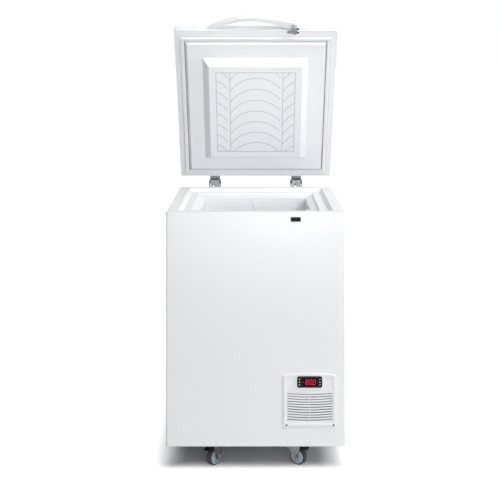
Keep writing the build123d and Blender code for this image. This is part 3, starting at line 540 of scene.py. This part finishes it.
def roundedSection(x, y0, y1, z0, z1, radius, steps):
    # Ring of points round a rectangle in Y and Z with rounded corners
    radius = max(min(radius, (y1 - y0) / 2 - 0.01, (z1 - z0) / 2 - 0.01), 0.005)
    ring = []
    for cy, cz, start in ((y1 - radius, z1 - radius, 0), (y0 + radius, z1 - radius, 90),
                          (y0 + radius, z0 + radius, 180), (y1 - radius, z0 + radius, 270)):
        for i in range(steps + 1):
            a = math.radians(start + 90 * i / steps)
            ring.append((x, cy + radius * math.cos(a), cz + radius * math.sin(a)))
    return ring


def buildHandle():
    low, high = closedBox("handle")
    skinLow = closedBox("lid_outer_skin")[0]
    front = skinLow.y
    gapLeft, gapRight = handleLook["gapLeft"], handleLook["gapRight"]
    apex, gapRise = handleLook["apex"], handleLook["gapRise"]
    rimRound, sectionSteps = handleLook["rimRound"], handleLook["sectionSteps"]
    rise = front - low.y
    barLow = skinLow.z + handleLook["barSetback"]
    barHigh = barLow + handleLook["barThickness"]
    rings = []
    count = handleLook["stations"]
    for i in range(count + 1):
        share = i / count
        x = low.x + (high.x - low.x) * (share - math.sin(4 * math.pi * share) * 0.02)
        end = low.x if x < apex else high.x
        outer = front - max(archHeight(x, apex, end, rise), 0.05)
        inner = front
        if gapLeft < x < gapRight:
            inner = front - archHeight(x, apex, gapLeft if x < apex else gapRight, gapRise)
        rings.append(roundedSection(x, outer, inner, barLow, barHigh, rimRound, sectionSteps))
    bar = loft(rings)
    r = handleLook["housingDiameter"] / 2
    soft = handleLook["housingRound"]
    barrelLow, barrelHigh = closedBox("lock_barrel")
    centre = ((barrelLow.x + barrelHigh.x) / 2, (barrelLow.y + barrelHigh.y) / 2)
    base, top = low.z, high.z
    boreRadius = (barrelHigh.x - barrelLow.x) / 2 + handleLook["barrelGap"]
    profile = [(boreRadius, base), (r - 1, base), (r, base + 1), (r, top - soft)]
    profile += [(r - soft + soft * math.cos(math.radians(a)), top - soft + soft * math.sin(math.radians(a)))
                for a in (30, 60, 90)]
    profile += [(boreRadius + 0.8, top), (boreRadius, top - 0.8), (boreRadius, base)]
    housing = moved(turned(profile, 56), Matrix.Translation((centre[0], centre[1], 0)))
    grip = addMesh("grip_bar", *bar, "trim", "lid", lidTurn, 40)
    cup = addMesh("lock_housing", *housing, "trim", "lid", lidTurn, 40)
    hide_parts("handle")


buildHandle()


# Lock: turned barrel face, its key slot as a thin black inlay of painted shade, and two black prongs beside
# the barrel

lockLook = {"prongOffset": 7.0, "prongReach": 15.0, "prongWidth": 4.0, "prongHeight": 6.0, "faceRound": 0.8,
            "slotLength": 8.0, "slotWidth": 2.0}


def buildLock():
    low, high = closedBox("lock_barrel")
    r = (high.x - low.x) / 2
    cx, cy = (low.x + high.x) / 2, (low.y + high.y) / 2
    soft = lockLook["faceRound"]
    edge = [(r, high.z - soft), (r - soft * 0.3, high.z - soft * 0.3), (r - soft, high.z)]
    dish = [(r * 0.72, high.z), (r * 0.7, high.z - 0.5), (0, high.z - 0.5)]
    profile = [(0, low.z), (r, low.z)] + edge + dish
    barrel = moved(turned(profile, 48), Matrix.Translation((cx, cy, 0)))
    piece = addMesh("lock_barrel_face", *barrel, "nickel", "lid_lock", lidTurn)
    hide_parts("lock_barrel")
    top = closedBox("lock_hook")[1].z
    reach, thick = lockLook["prongReach"], lockLook["prongWidth"]
    starts = [cy + side * lockLook["prongOffset"] for side in (-1, 1)]
    prongs = [brick(cx + 1, cx + reach, y, y + thick, top - lockLook["prongHeight"], top) for y in starts]
    piece = addMesh("lock_prongs", *merged(prongs), "black", "lid_lock", lidTurn, 30, 0.6)
    long, wide = lockLook["slotLength"] / 2, lockLook["slotWidth"] / 2
    # Key slot: a black inlay just proud of the dished face, painted shade in place of a hole
    slotShade = brick(cx - wide, cx + wide, cy - long, cy + long, high.z - 1.2, high.z - 0.45)
    addMesh("key_slot_shade", *slotShade, "black", "lid_lock", lidTurn)


buildLock()
print("handle and lock built")


# Lid seal: bellows section mitred round the lid; its magnetic pocket is not drawn

sealLook = {"width": 12.5, "foot": 1.5, "ribs": 3, "ribDepth": 0.6}


def buildSeal():
    low, high = closedBox("lid_gasket")
    width, foot = sealLook["width"], sealLook["foot"]
    rings = []
    corners = ((low.x, low.y), (high.x, low.y), (high.x, high.y), (low.x, high.y))
    depth = sealLook["ribDepth"]
    section = [(0, high.z)]
    levels = 2 * sealLook["ribs"] + 1
    for i in range(levels + 1):
        inset = depth if i % 2 else 0.0
        section.append((inset, high.z - (high.z - low.z - foot) * i / levels))
    section += [(foot, low.z), (width - foot, low.z)]
    for i in range(levels, -1, -1):
        inset = depth if i % 2 else 0.0
        section.append((width - inset, high.z - (high.z - low.z - foot) * i / levels))
    middle = ((low.x + high.x) / 2, (low.y + high.y) / 2)
    for x, y in corners:
        sx = 1 if x < middle[0] else -1
        sy = 1 if y < middle[1] else -1
        rings.append([(x + sx * inset, y + sy * inset, z) for inset, z in section])
    rings.append(rings[0])
    seal = loft(rings, False)
    piece = addMesh("seal_bellows", *seal, "seal", "lid", lidTurn, 30)
    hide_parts("lid_gasket")


buildSeal()


# Hinges: springs as wound wire, the folded web of each leaf, pin heads and bracket screws

hingeLook = {"wire": 2.2, "coils": 7, "coilRadius": 5.2, "endRoom": 3.3, "headDiameter": 10.5,
             "headHeight": 1.2, "gauge": 2.0, "cheek": 2.6,
             "fold": [(-14.0, 17.0), (-14.0, -8.0), (3.0, -18.0)], "screwDiameter": 7.5, "screwHeight": 1.6,
             "screwSpacing": 22.0, "screwLevels": (22.0, 62.0)}


def buildHinges():
    centre = milli(pivot)
    for side in ("left", "right"):
        low, high = boxOf("hinge_bracket_" + side)
        leafLow, leafHigh = closedBox("hinge_leaf_" + side)
        middle = (low.x + high.x) / 2
        length = leafHigh.x - leafLow.x - 2 * hingeLook["endRoom"]
        radius = hingeLook["coilRadius"]
        path = []
        wire = hingeLook["wire"]
        turns = hingeLook["coils"]
        for i in range(turns * 18 + 1):
            a = 2 * math.pi * i / 18
            along = wire / 2 - length / 2 + (length - wire) * i / (turns * 18)
            path.append((middle + along, centre.y + radius * math.cos(a), centre.z + radius * math.sin(a)))
        coil = addMesh("spring_wire_" + side, *pipe(path, wire / 2, 8), "zinc", "cabinet", None, 60)
        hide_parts("hinge_springs")
        r = hingeLook["headDiameter"] / 2
        h = hingeLook["headHeight"]
        heads = []
        for end, facing in ((low.x, -1), (high.x, 1)):
            form = turned([(0, 0), (r, 0), (r, h * 0.6), (r * 0.7, h), (0, h)], 32, "X")
            turn = Matrix.Identity(4) if facing > 0 else Matrix.Rotation(math.pi, 4, "Z")
            heads.append(moved(form, Matrix.Translation((end, centre.y, centre.z)) @ turn))
        piece = addMesh("pin_heads_" + side, *merged(heads), "zinc", "cabinet")
        fold = hingeLook["fold"]
        gauge = hingeLook["gauge"]
        outline = fold + [(y + gauge, z + gauge * 0.5) for y, z in fold[::-1]]
        points, faces = slab([(centre.y + y, centre.z + z) for y, z in outline],
                             leafLow.x + hingeLook["cheek"], leafHigh.x - hingeLook["cheek"])
        web = [(x, y, z) for y, z, x in points]
        piece = addMesh("hinge_web_" + side, web, faces, "zinc", "lid", lidTurn, 30)
        screws, marks = [], []
        back = boxOf("back_panel")[1].y + 2.5
        facing = Matrix.Rotation(-math.pi / 2, 4, "X")
        for level in hingeLook["screwLevels"]:
            for dx in (-hingeLook["screwSpacing"] / 2, hingeLook["screwSpacing"] / 2):
                spot = Matrix.Translation((middle + dx, back, low.z + level)) @ facing
                screws.append(moved(crossHead(hingeLook["screwDiameter"], hingeLook["screwHeight"]), spot))
                marks.append(moved(crossRecessShade(hingeLook["screwDiameter"], hingeLook["screwHeight"]), spot))
        piece = addMesh("bracket_screws_" + side, *merged(screws), "zinc", "cabinet")
        # Black crosses on the bracket screws: painted shade of recesses that are not cut
        addMesh("bracket_screw_recess_shade_" + side, *merged(marks), "black", "cabinet")


buildHinges()
print("seal and hinges built")


# Controller face: lit digits, lamps and key marks

panelLook = {"digitHeight": 15.0, "digitWidth": 7.7, "segment": 1.15, "slant": 0.12, "pitch": 11.4,
             "sideShift": -2.5, "dotRadius": 1.1, "minusShare": 0.72, "lift": 0.12,
             "reading": ("minus", "8", "0", "dot", "0"), "markSize": 1.3, "markLift": 0.05, "edgeRoom": 3.0}
segmentsOf = {"0": "abcdef", "8": "abcdefg", "minus": "g"}


def segmentBar(kind, width, height, thick):
    half = thick / 2
    across = [(-width / 2 + half * 1.2, 0), (-width / 2 + half * 2, half), (width / 2 - half * 2, half),
              (width / 2 - half * 1.2, 0), (width / 2 - half * 2, -half), (-width / 2 + half * 2, -half)]
    run = height / 2 - half
    along = [(0, half * 0.4), (half, half * 1.3), (half, run - half * 0.6), (0, run),
             (-half, run - half * 0.6), (-half, half * 1.3)]
    spots = {"a": (0, height / 2 - half), "g": (0, 0), "d": (0, -height / 2 + half)}
    if kind in spots:
        return [(x, y + spots[kind][1]) for x, y in across]
    x = width / 2 - half
    sides = {"b": (x, 1), "c": (x, -1), "e": (-x, -1), "f": (-x, 1)}
    cx, flip = sides[kind]
    return [(cx + px, flip * py) for px, py in (along if flip > 0 else along[::-1])]


def buildDisplay():
    low, high = boxOf("display_window")
    face = low.y
    cz = (low.z + high.z) / 2
    cx = (low.x + high.x) / 2 + panelLook["sideShift"]
    tall, wide, thick = panelLook["digitHeight"], panelLook["digitWidth"], panelLook["segment"]
    pitch, dot = panelLook["pitch"], panelLook["dotRadius"]
    bars = []
    spot = cx - 1.5 * pitch
    for sign in panelLook["reading"]:
        if sign == "dot":
            x = spot - pitch / 2 + 0.3
            angles = [a * math.pi / 6 for a in range(12)]
            outlines = [[(x + dot * math.cos(a), dot - tall / 2 + dot * math.sin(a)) for a in angles]]
        else:
            narrow = wide * panelLook["minusShare"] if sign == "minus" else wide
            outlines = [[(spot + px, pz) for px, pz in segmentBar(kind, narrow, tall, thick)]
                        for kind in segmentsOf[sign]]
            spot += pitch
        for outline in outlines:
            bent = [(x + panelLook["slant"] * z, z) for x, z in outline]
            form = slab(bent, 0.0, panelLook["lift"])
            bars.append(([(x, face - z, cz + y) for x, y, z in form[0]], form[1]))
    addMesh("display_digits", *merged(bars), "digit", "cabinet")


def buildMarks():
    size = panelLook["markSize"]
    low, high = boxOf("indicator_lamps")
    addMesh("lamp_marks", *lampMarks(low, high, size), "mark", "cabinet")
    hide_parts("indicator_lamps")
    shapes = {"key_down": [(-1, 0.8), (1, 0.8), (0, -1)], "key_up": [(0, 1), (-1, -0.8), (1, -0.8)],
              "key_set": [(-0.8, -0.8), (0.8, -0.8), (0.8, 0.8), (-0.8, 0.8)]}
    for name, shape in shapes.items():
        nodes[name].data.materials.clear()
        nodes[name].data.materials.append(coats["black"])
        softenEdges(nodes[name], 0.3, weld=True)
        keyLow, keyHigh = boxOf(name)
        cx, cz = (keyLow.x + keyHigh.x) / 2, (keyLow.z + keyHigh.z) / 2
        form = slab([(x * size, y * size) for x, y in shape], 0.0, panelLook["markLift"])
        points = [(cx + x, keyLow.y - z, cz + y) for x, y, z in form[0]]
        addMesh("mark_of_" + name, points, form[1], "mark", name)


def lampMarks(low, high, size):
    cx = (low.x + high.x) / 2
    forms = []
    for level in (-1, 0, 1):
        cz = (low.z + high.z) / 2 + level * (high.z - low.z - panelLook["edgeRoom"]) / 2
        ring = turned([(0, 0.0), (size, 0.0), (size, 0.2), (size * 0.7, 0.35), (0, 0.4)], 20)
        forms.append(([(cx + x, high.y - z, cz + y) for x, y, z in ring[0]], ring[1]))
    return merged(forms)


buildDisplay()
buildMarks()
print("controller face built")


# Screws of the fascia and the rear cover

screwLook = {"diameter": 7.0, "height": 1.8}


def buildCoverScrews():
    mesh = nodes["cover_screws"].data
    heads, marks = [], []
    islands = islandCentres(mesh)
    middle = (boxOf("outer_shell")[0].y + boxOf("outer_shell")[1].y) / 2
    for centre, low, high in islands:
        front = centre.y < middle
        y = high.y if front else low.y
        turn = Matrix.Rotation(math.pi / 2 if front else -math.pi / 2, 4, "X")
        spot = Matrix.Translation((centre.x, y, centre.z)) @ turn
        heads.append(moved(crossHead(screwLook["diameter"], screwLook["height"]), spot))
        marks.append(moved(crossRecessShade(screwLook["diameter"], screwLook["height"]), spot))
    piece = addMesh("panel_screw_heads", *merged(heads), "zinc", "cabinet")
    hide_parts("cover_screws")
    # Black crosses on the panel screws: painted shade of recesses that are not cut
    addMesh("panel_screw_recess_shade", *merged(marks), "black", "cabinet")


def islandCentres(mesh):
    # Centre and corners, in millimetres, of each loose part of a mesh
    keys = {}
    owner = []
    for vertex in mesh.vertices:
        key = tuple(round(c, 6) for c in vertex.co)
        owner.append(keys.setdefault(key, len(keys)))
    parent = list(range(len(keys)))

    def top(i):
        while parent[i] != i:
            i = parent[i]
        return i

    for polygon in mesh.polygons:
        first = top(owner[polygon.vertices[0]])
        for v in polygon.vertices[1:]:
            parent[top(owner[v])] = first
    groups = {}
    for key, index in keys.items():
        groups.setdefault(top(index), []).append(Vector(key) * 1000.0)
    found = []
    for points in groups.values():
        low = Vector([min(p[i] for p in points) for i in range(3)])
        high = Vector([max(p[i] for p in points) for i in range(3)])
        found.append(((low + high) / 2, low, high))
    return found


buildCoverScrews()


# Casters: lathe turned wheels, races and axle nuts

casterLook = {"wheel": 50.0, "width": 20.0, "treadRound": 3.0, "ringOuter": 42.0, "ringInner": 31.0,
              "bore": 9.2, "grooveDepth": 1.2, "grooveWidth": 3.0, "grooveFoot": 1.6, "nutPlace": 14.0,
              "nutRadius": 6.4, "nutHeight": 3.4, "axleRadius": 3.2, "axleTip": 4.0, "raceDiameter": 34.0,
              "plateSide": 58.0, "plateSheet": 2.5, "plateCorner": 7.0, "boltRadius": 5.5,
              "boltHeight": 4.2, "boltInset": 9.0}


corners = ("front_left", "front_right", "rear_left", "rear_right")


def wheelFrame(corner):
    # Matrix that puts a wheel drawn along X on its axle, in millimetres
    joint = joints["roll_" + corner]
    axis = Vector(joint["axis"]).normalized()
    up = Vector((0, 0, 1))
    side = up.cross(axis)
    turn = Matrix((axis, side, up)).transposed().to_4x4()
    return Matrix.Translation(milli(joint["pos_m"])) @ turn


def inMetres(matrix):
    # The same placing for a mesh in metres
    made = matrix.copy()
    made.translation = matrix.translation / 1000.0
    return made


def buildWheel(corner):
    place = inMetres(wheelFrame(corner))
    r = casterLook["wheel"] / 2
    half = casterLook["width"] / 2
    soft = casterLook["treadRound"]
    outer, inner = casterLook["ringOuter"] / 2, casterLook["ringInner"] / 2
    deep = casterLook["grooveDepth"]
    mouth, foot = casterLook["grooveWidth"] / 2, casterLook["grooveFoot"] / 2
    bore = casterLook["bore"] / 2
    rim = [(r - soft + soft * math.sin(math.radians(a)), -half + soft - soft * math.cos(math.radians(a)))
           for a in (0, 25, 50, 70, 90)]
    tread = [(outer - 0.4, -half + 0.6), (outer, -half)] + rim
    tread += [(r, -mouth), (r - deep, -foot), (r - deep, foot), (r, mouth)]
    tread += [(x, -h) for x, h in reversed(rim)] + [(outer, half), (outer - 0.4, half - 0.6)]
    tyre = addMesh("tread_" + corner, *turned(tread, 72, "X"), "tread", "wheel_" + corner, place, 30)
    hub = [(bore, -half), (7.5, -half), (8.0, -half + 0.8), (9.0, -half + 5.0)]
    ring = [(inner - 1.8, -half + 4.4), (inner - 0.7, -half + 0.5), (inner, -half), (outer - 0.6, -half)]
    face = hub + ring + [(outer, -half + 0.6)]
    web = face + [(x, -h) for x, h in reversed(face)] + [(bore, -half)]
    body = addMesh("wheel_body_" + corner, *turned(web, 72, "X"), "wheel", "wheel_" + corner, place, 30)
    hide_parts("caster_wheel_" + corner)


def hexagon(radius):
    angles = [math.radians(60 * i) for i in range(6)]
    return [(radius * math.cos(a), radius * math.sin(a)) for a in angles]


def buildAxleNuts(corner):
    place = inMetres(wheelFrame(corner))
    low = casterLook["nutPlace"]
    r, tip = casterLook["axleRadius"], low + casterLook["axleTip"]
    parts = []
    for turn in (0, math.pi):
        nut = slab(hexagon(casterLook["nutRadius"]), low, low + casterLook["nutHeight"])
        end = turned([(0, low), (r, low), (r, tip - 0.4), (r - 0.6, tip), (0, tip)], 20)
        both = moved(merged([nut, end]), Matrix.Rotation(math.pi / 2, 4, "Y"))
        parts.append(moved(both, Matrix.Rotation(turn, 4, "Z")))
    piece = addMesh("axle_nuts_" + corner, *merged(parts), "zinc", "fork_" + corner, place, 30, 0.3)


def buildRaces():
    low, high = boxOf("caster_plates")
    plates, bolts = [], []
    r, side, sheet = casterLook["raceDiameter"] / 2, casterLook["plateSide"], casterLook["plateSheet"]
    bolt = slab(hexagon(casterLook["boltRadius"]), 0, casterLook["boltHeight"])
    off = side / 2 - casterLook["boltInset"]
    plate = slab(roundRect(side, side, casterLook["plateCorner"]), high.z - sheet, high.z)
    top = high.z - sheet + 0.1
    cup = turned([(0, top), (r + 1, top), (r, top - 1.6), (r, low.z + 3.2), (r - 1.4, low.z + 1.6),
                  (r - 1.6, low.z), (0, low.z)], 48)
    for corner in corners:
        centre = milli(jointPlace("swivel_" + corner))
        spot = Matrix.Translation((centre.x, centre.y, 0))
        plates += [moved(plate, spot), moved(cup, spot)]
        for dx in (-off, off):
            for dy in (-off, off):
                level = high.z - sheet - casterLook["boltHeight"] + 0.2
                bolts.append(moved(bolt, Matrix.Translation((centre.x + dx, centre.y + dy, level))))
    piece = addMesh("caster_races", *merged(plates), "zinc", "cabinet", None, 30, 0.4)
    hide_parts("caster_plates")
    piece = addMesh("caster_bolts", *merged(bolts), "zinc", "cabinet", None, 30, 0.4)


for corner in corners:
    buildWheel(corner)
    buildAxleNuts(corner)
buildRaces()
print("casters built")


# Light, floor and camera

# World strengths, beam angle in degrees, reach of the shadow in metres round the cabinet, floor in mm
studio = {"skyLeft": 0.04, "skyRight": 0.34, "beamSpread": 22.0, "shadowEdge": -0.06, "shadowFade": 0.09,
          "floorReach": 200000.0}
# Each lamp: name, place, aim and side of its square in metres, and watts
lamps = (("key_light", (2.6, -1.9, 3.0), (0.0, -0.3, 0.9), 1.0, 50.0),
         ("overhead_panel", (1.0, -1.6, 3.9), (0.1, 0.0, 0.8), 3.0, 74.0),
         ("lid_beam", (0.6, -2.6, 1.2), (-0.08, 0.3, 1.05), 0.5, 0.46),
         ("front_panel", (0.9, -4.6, 1.5), (0.0, 0.0, 0.9), 2.4, 31.0))
# Picture side, focal length and the optical centre in pixels; distance and height in metres; sensor in mm
lensLook = {"picture": 500.0, "focal": 978.0, "middleX": 255.6, "horizon": 61.6, "distance": 2.999,
            "height": 1.258, "sensor": 36.0}


def addLamp(name, place, aim, size, power):
    lamp = bpy.data.lights.new(name, "AREA")
    lamp.shape = "SQUARE"
    lamp.size = size
    lamp.energy = power
    holder = bpy.data.objects.new(name, lamp)
    bpy.context.scene.collection.objects.link(holder)
    holder.location = place
    holder.rotation_euler = (Vector(aim) - Vector(place)).to_track_quat("-Z", "Y").to_euler()
    return holder


def buildStudio():
    world = bpy.data.worlds.new("studio")
    bpy.context.scene.world = world
    world.use_nodes = True
    tree = world.node_tree
    tree.nodes.clear()
    ray = addNode(tree, "ShaderNodeLightPath")
    direct = addNode(tree, "ShaderNodeMath", {"operation": "MAXIMUM"})
    tree.links.new(ray.outputs["Is Camera Ray"], direct.inputs[0])
    tree.links.new(ray.outputs["Is Glossy Ray"], direct.inputs[1])
    through = addNode(tree, "ShaderNodeMath", {"operation": "MAXIMUM"})
    tree.links.new(direct.outputs[0], through.inputs[0])
    tree.links.new(ray.outputs["Is Transmission Ray"], through.inputs[1])
    facing = addNode(tree, "ShaderNodeTexCoord")
    parts = addNode(tree, "ShaderNodeSeparateXYZ", None, {"Vector": facing.outputs["Generated"]})
    sky = addNode(tree, "ShaderNodeMapRange", None,
                  {"Value": parts.outputs["X"], "From Min": -1.0, "From Max": 1.0,
                   "To Min": studio["skyLeft"], "To Max": studio["skyRight"]})
    ambient = addNode(tree, "ShaderNodeBackground", None,
                      {"Color": (0.99, 0.99, 1.0, 1.0), "Strength": sky.outputs["Result"]})
    seen = addNode(tree, "ShaderNodeBackground", None, {"Color": (1.0, 1.0, 1.0, 1.0), "Strength": 1.0})
    mix = addNode(tree, "ShaderNodeMixShader", None, {"Fac": through.outputs[0]})
    tree.links.new(ambient.outputs[0], mix.inputs[1])
    tree.links.new(seen.outputs[0], mix.inputs[2])
    out = addNode(tree, "ShaderNodeOutputWorld")
    tree.links.new(mix.outputs[0], out.inputs["Surface"])
    for name, place, aim, size, power in lamps:
        holder = addLamp(name, place, aim, size, power)
        if name == "lid_beam":
            holder.data.spread = math.radians(studio["beamSpread"])


def buildFloor():
    # Studio paper that keeps the shadow under the object and shows as white outside its footprint
    reach = studio["floorReach"]
    points = [(-reach, -reach, 0), (reach, -reach, 0), (reach, reach, 0), (-reach, reach, 0)]
    mesh = bpy.data.meshes.new("floor")
    mesh.from_pydata(toMetres(points), [], [[0, 1, 2, 3]])
    floor = bpy.data.objects.new("floor", mesh)
    bpy.context.scene.collection.objects.link(floor)
    material, tree, shader, where = startMaterial("studio_paper", "#FBFBFC", 0.9)
    shader.inputs["Specular IOR Level"].default_value = 0.0
    ray = addNode(tree, "ShaderNodeLightPath")
    low, high = boxOf("outer_shell")
    sides = addNode(tree, "ShaderNodeVectorMath", {"operation": "ABSOLUTE"}, {0: where})
    outside = addNode(tree, "ShaderNodeVectorMath", {"operation": "SUBTRACT"}, {0: sides.outputs["Vector"]})
    outside.inputs[1].default_value = (high.x / 1000, high.y / 1000, 10.0)
    beyond = addNode(tree, "ShaderNodeVectorMath", {"operation": "MAXIMUM"}, {0: outside.outputs["Vector"]})
    beyond.inputs[1].default_value = (studio["shadowEdge"],) * 3
    split = addNode(tree, "ShaderNodeSeparateXYZ", None, {"Vector": beyond.outputs["Vector"]})
    reachOut = addNode(tree, "ShaderNodeMath", {"operation": "MAXIMUM"}, {0: split.outputs["X"]})
    tree.links.new(split.outputs["Y"], reachOut.inputs[1])
    far = addNode(tree, "ShaderNodeMapRange", {"interpolation_type": "SMOOTHSTEP"},
                  {"Value": reachOut.outputs[0], "From Min": studio["shadowEdge"],
                   "From Max": studio["shadowFade"], "To Min": 0.0, "To Max": 1.0})
    lift = addNode(tree, "ShaderNodeMath", {"operation": "MULTIPLY"})
    tree.links.new(ray.outputs["Is Camera Ray"], lift.inputs[0])
    tree.links.new(far.outputs["Result"], lift.inputs[1])
    shader.inputs["Emission Color"].default_value = (1, 1, 1, 1)
    tree.links.new(lift.outputs[0], shader.inputs["Emission Strength"])
    mesh.materials.append(material)


def buildCamera():
    picture = lensLook["picture"]
    camera = bpy.data.cameras.new("camera")
    camera.sensor_width = lensLook["sensor"]
    camera.lens = lensLook["focal"] / picture * camera.sensor_width
    camera.shift_x = (picture / 2 - lensLook["middleX"]) / picture
    camera.shift_y = (lensLook["horizon"] - picture / 2) / picture
    camera.clip_end = 400.0
    holder = bpy.data.objects.new("camera", camera)
    bpy.context.scene.collection.objects.link(holder)
    front = boxOf("outer_shell")[0].y / 1000.0
    holder.location = (0.0, front - lensLook["distance"], lensLook["height"])
    holder.rotation_euler = (math.radians(90), 0, 0)
    bpy.context.scene.camera = holder


buildStudio()
buildFloor()
buildCamera()
scene = bpy.context.scene
scene.view_settings.view_transform = "Standard"
print("studio ready")
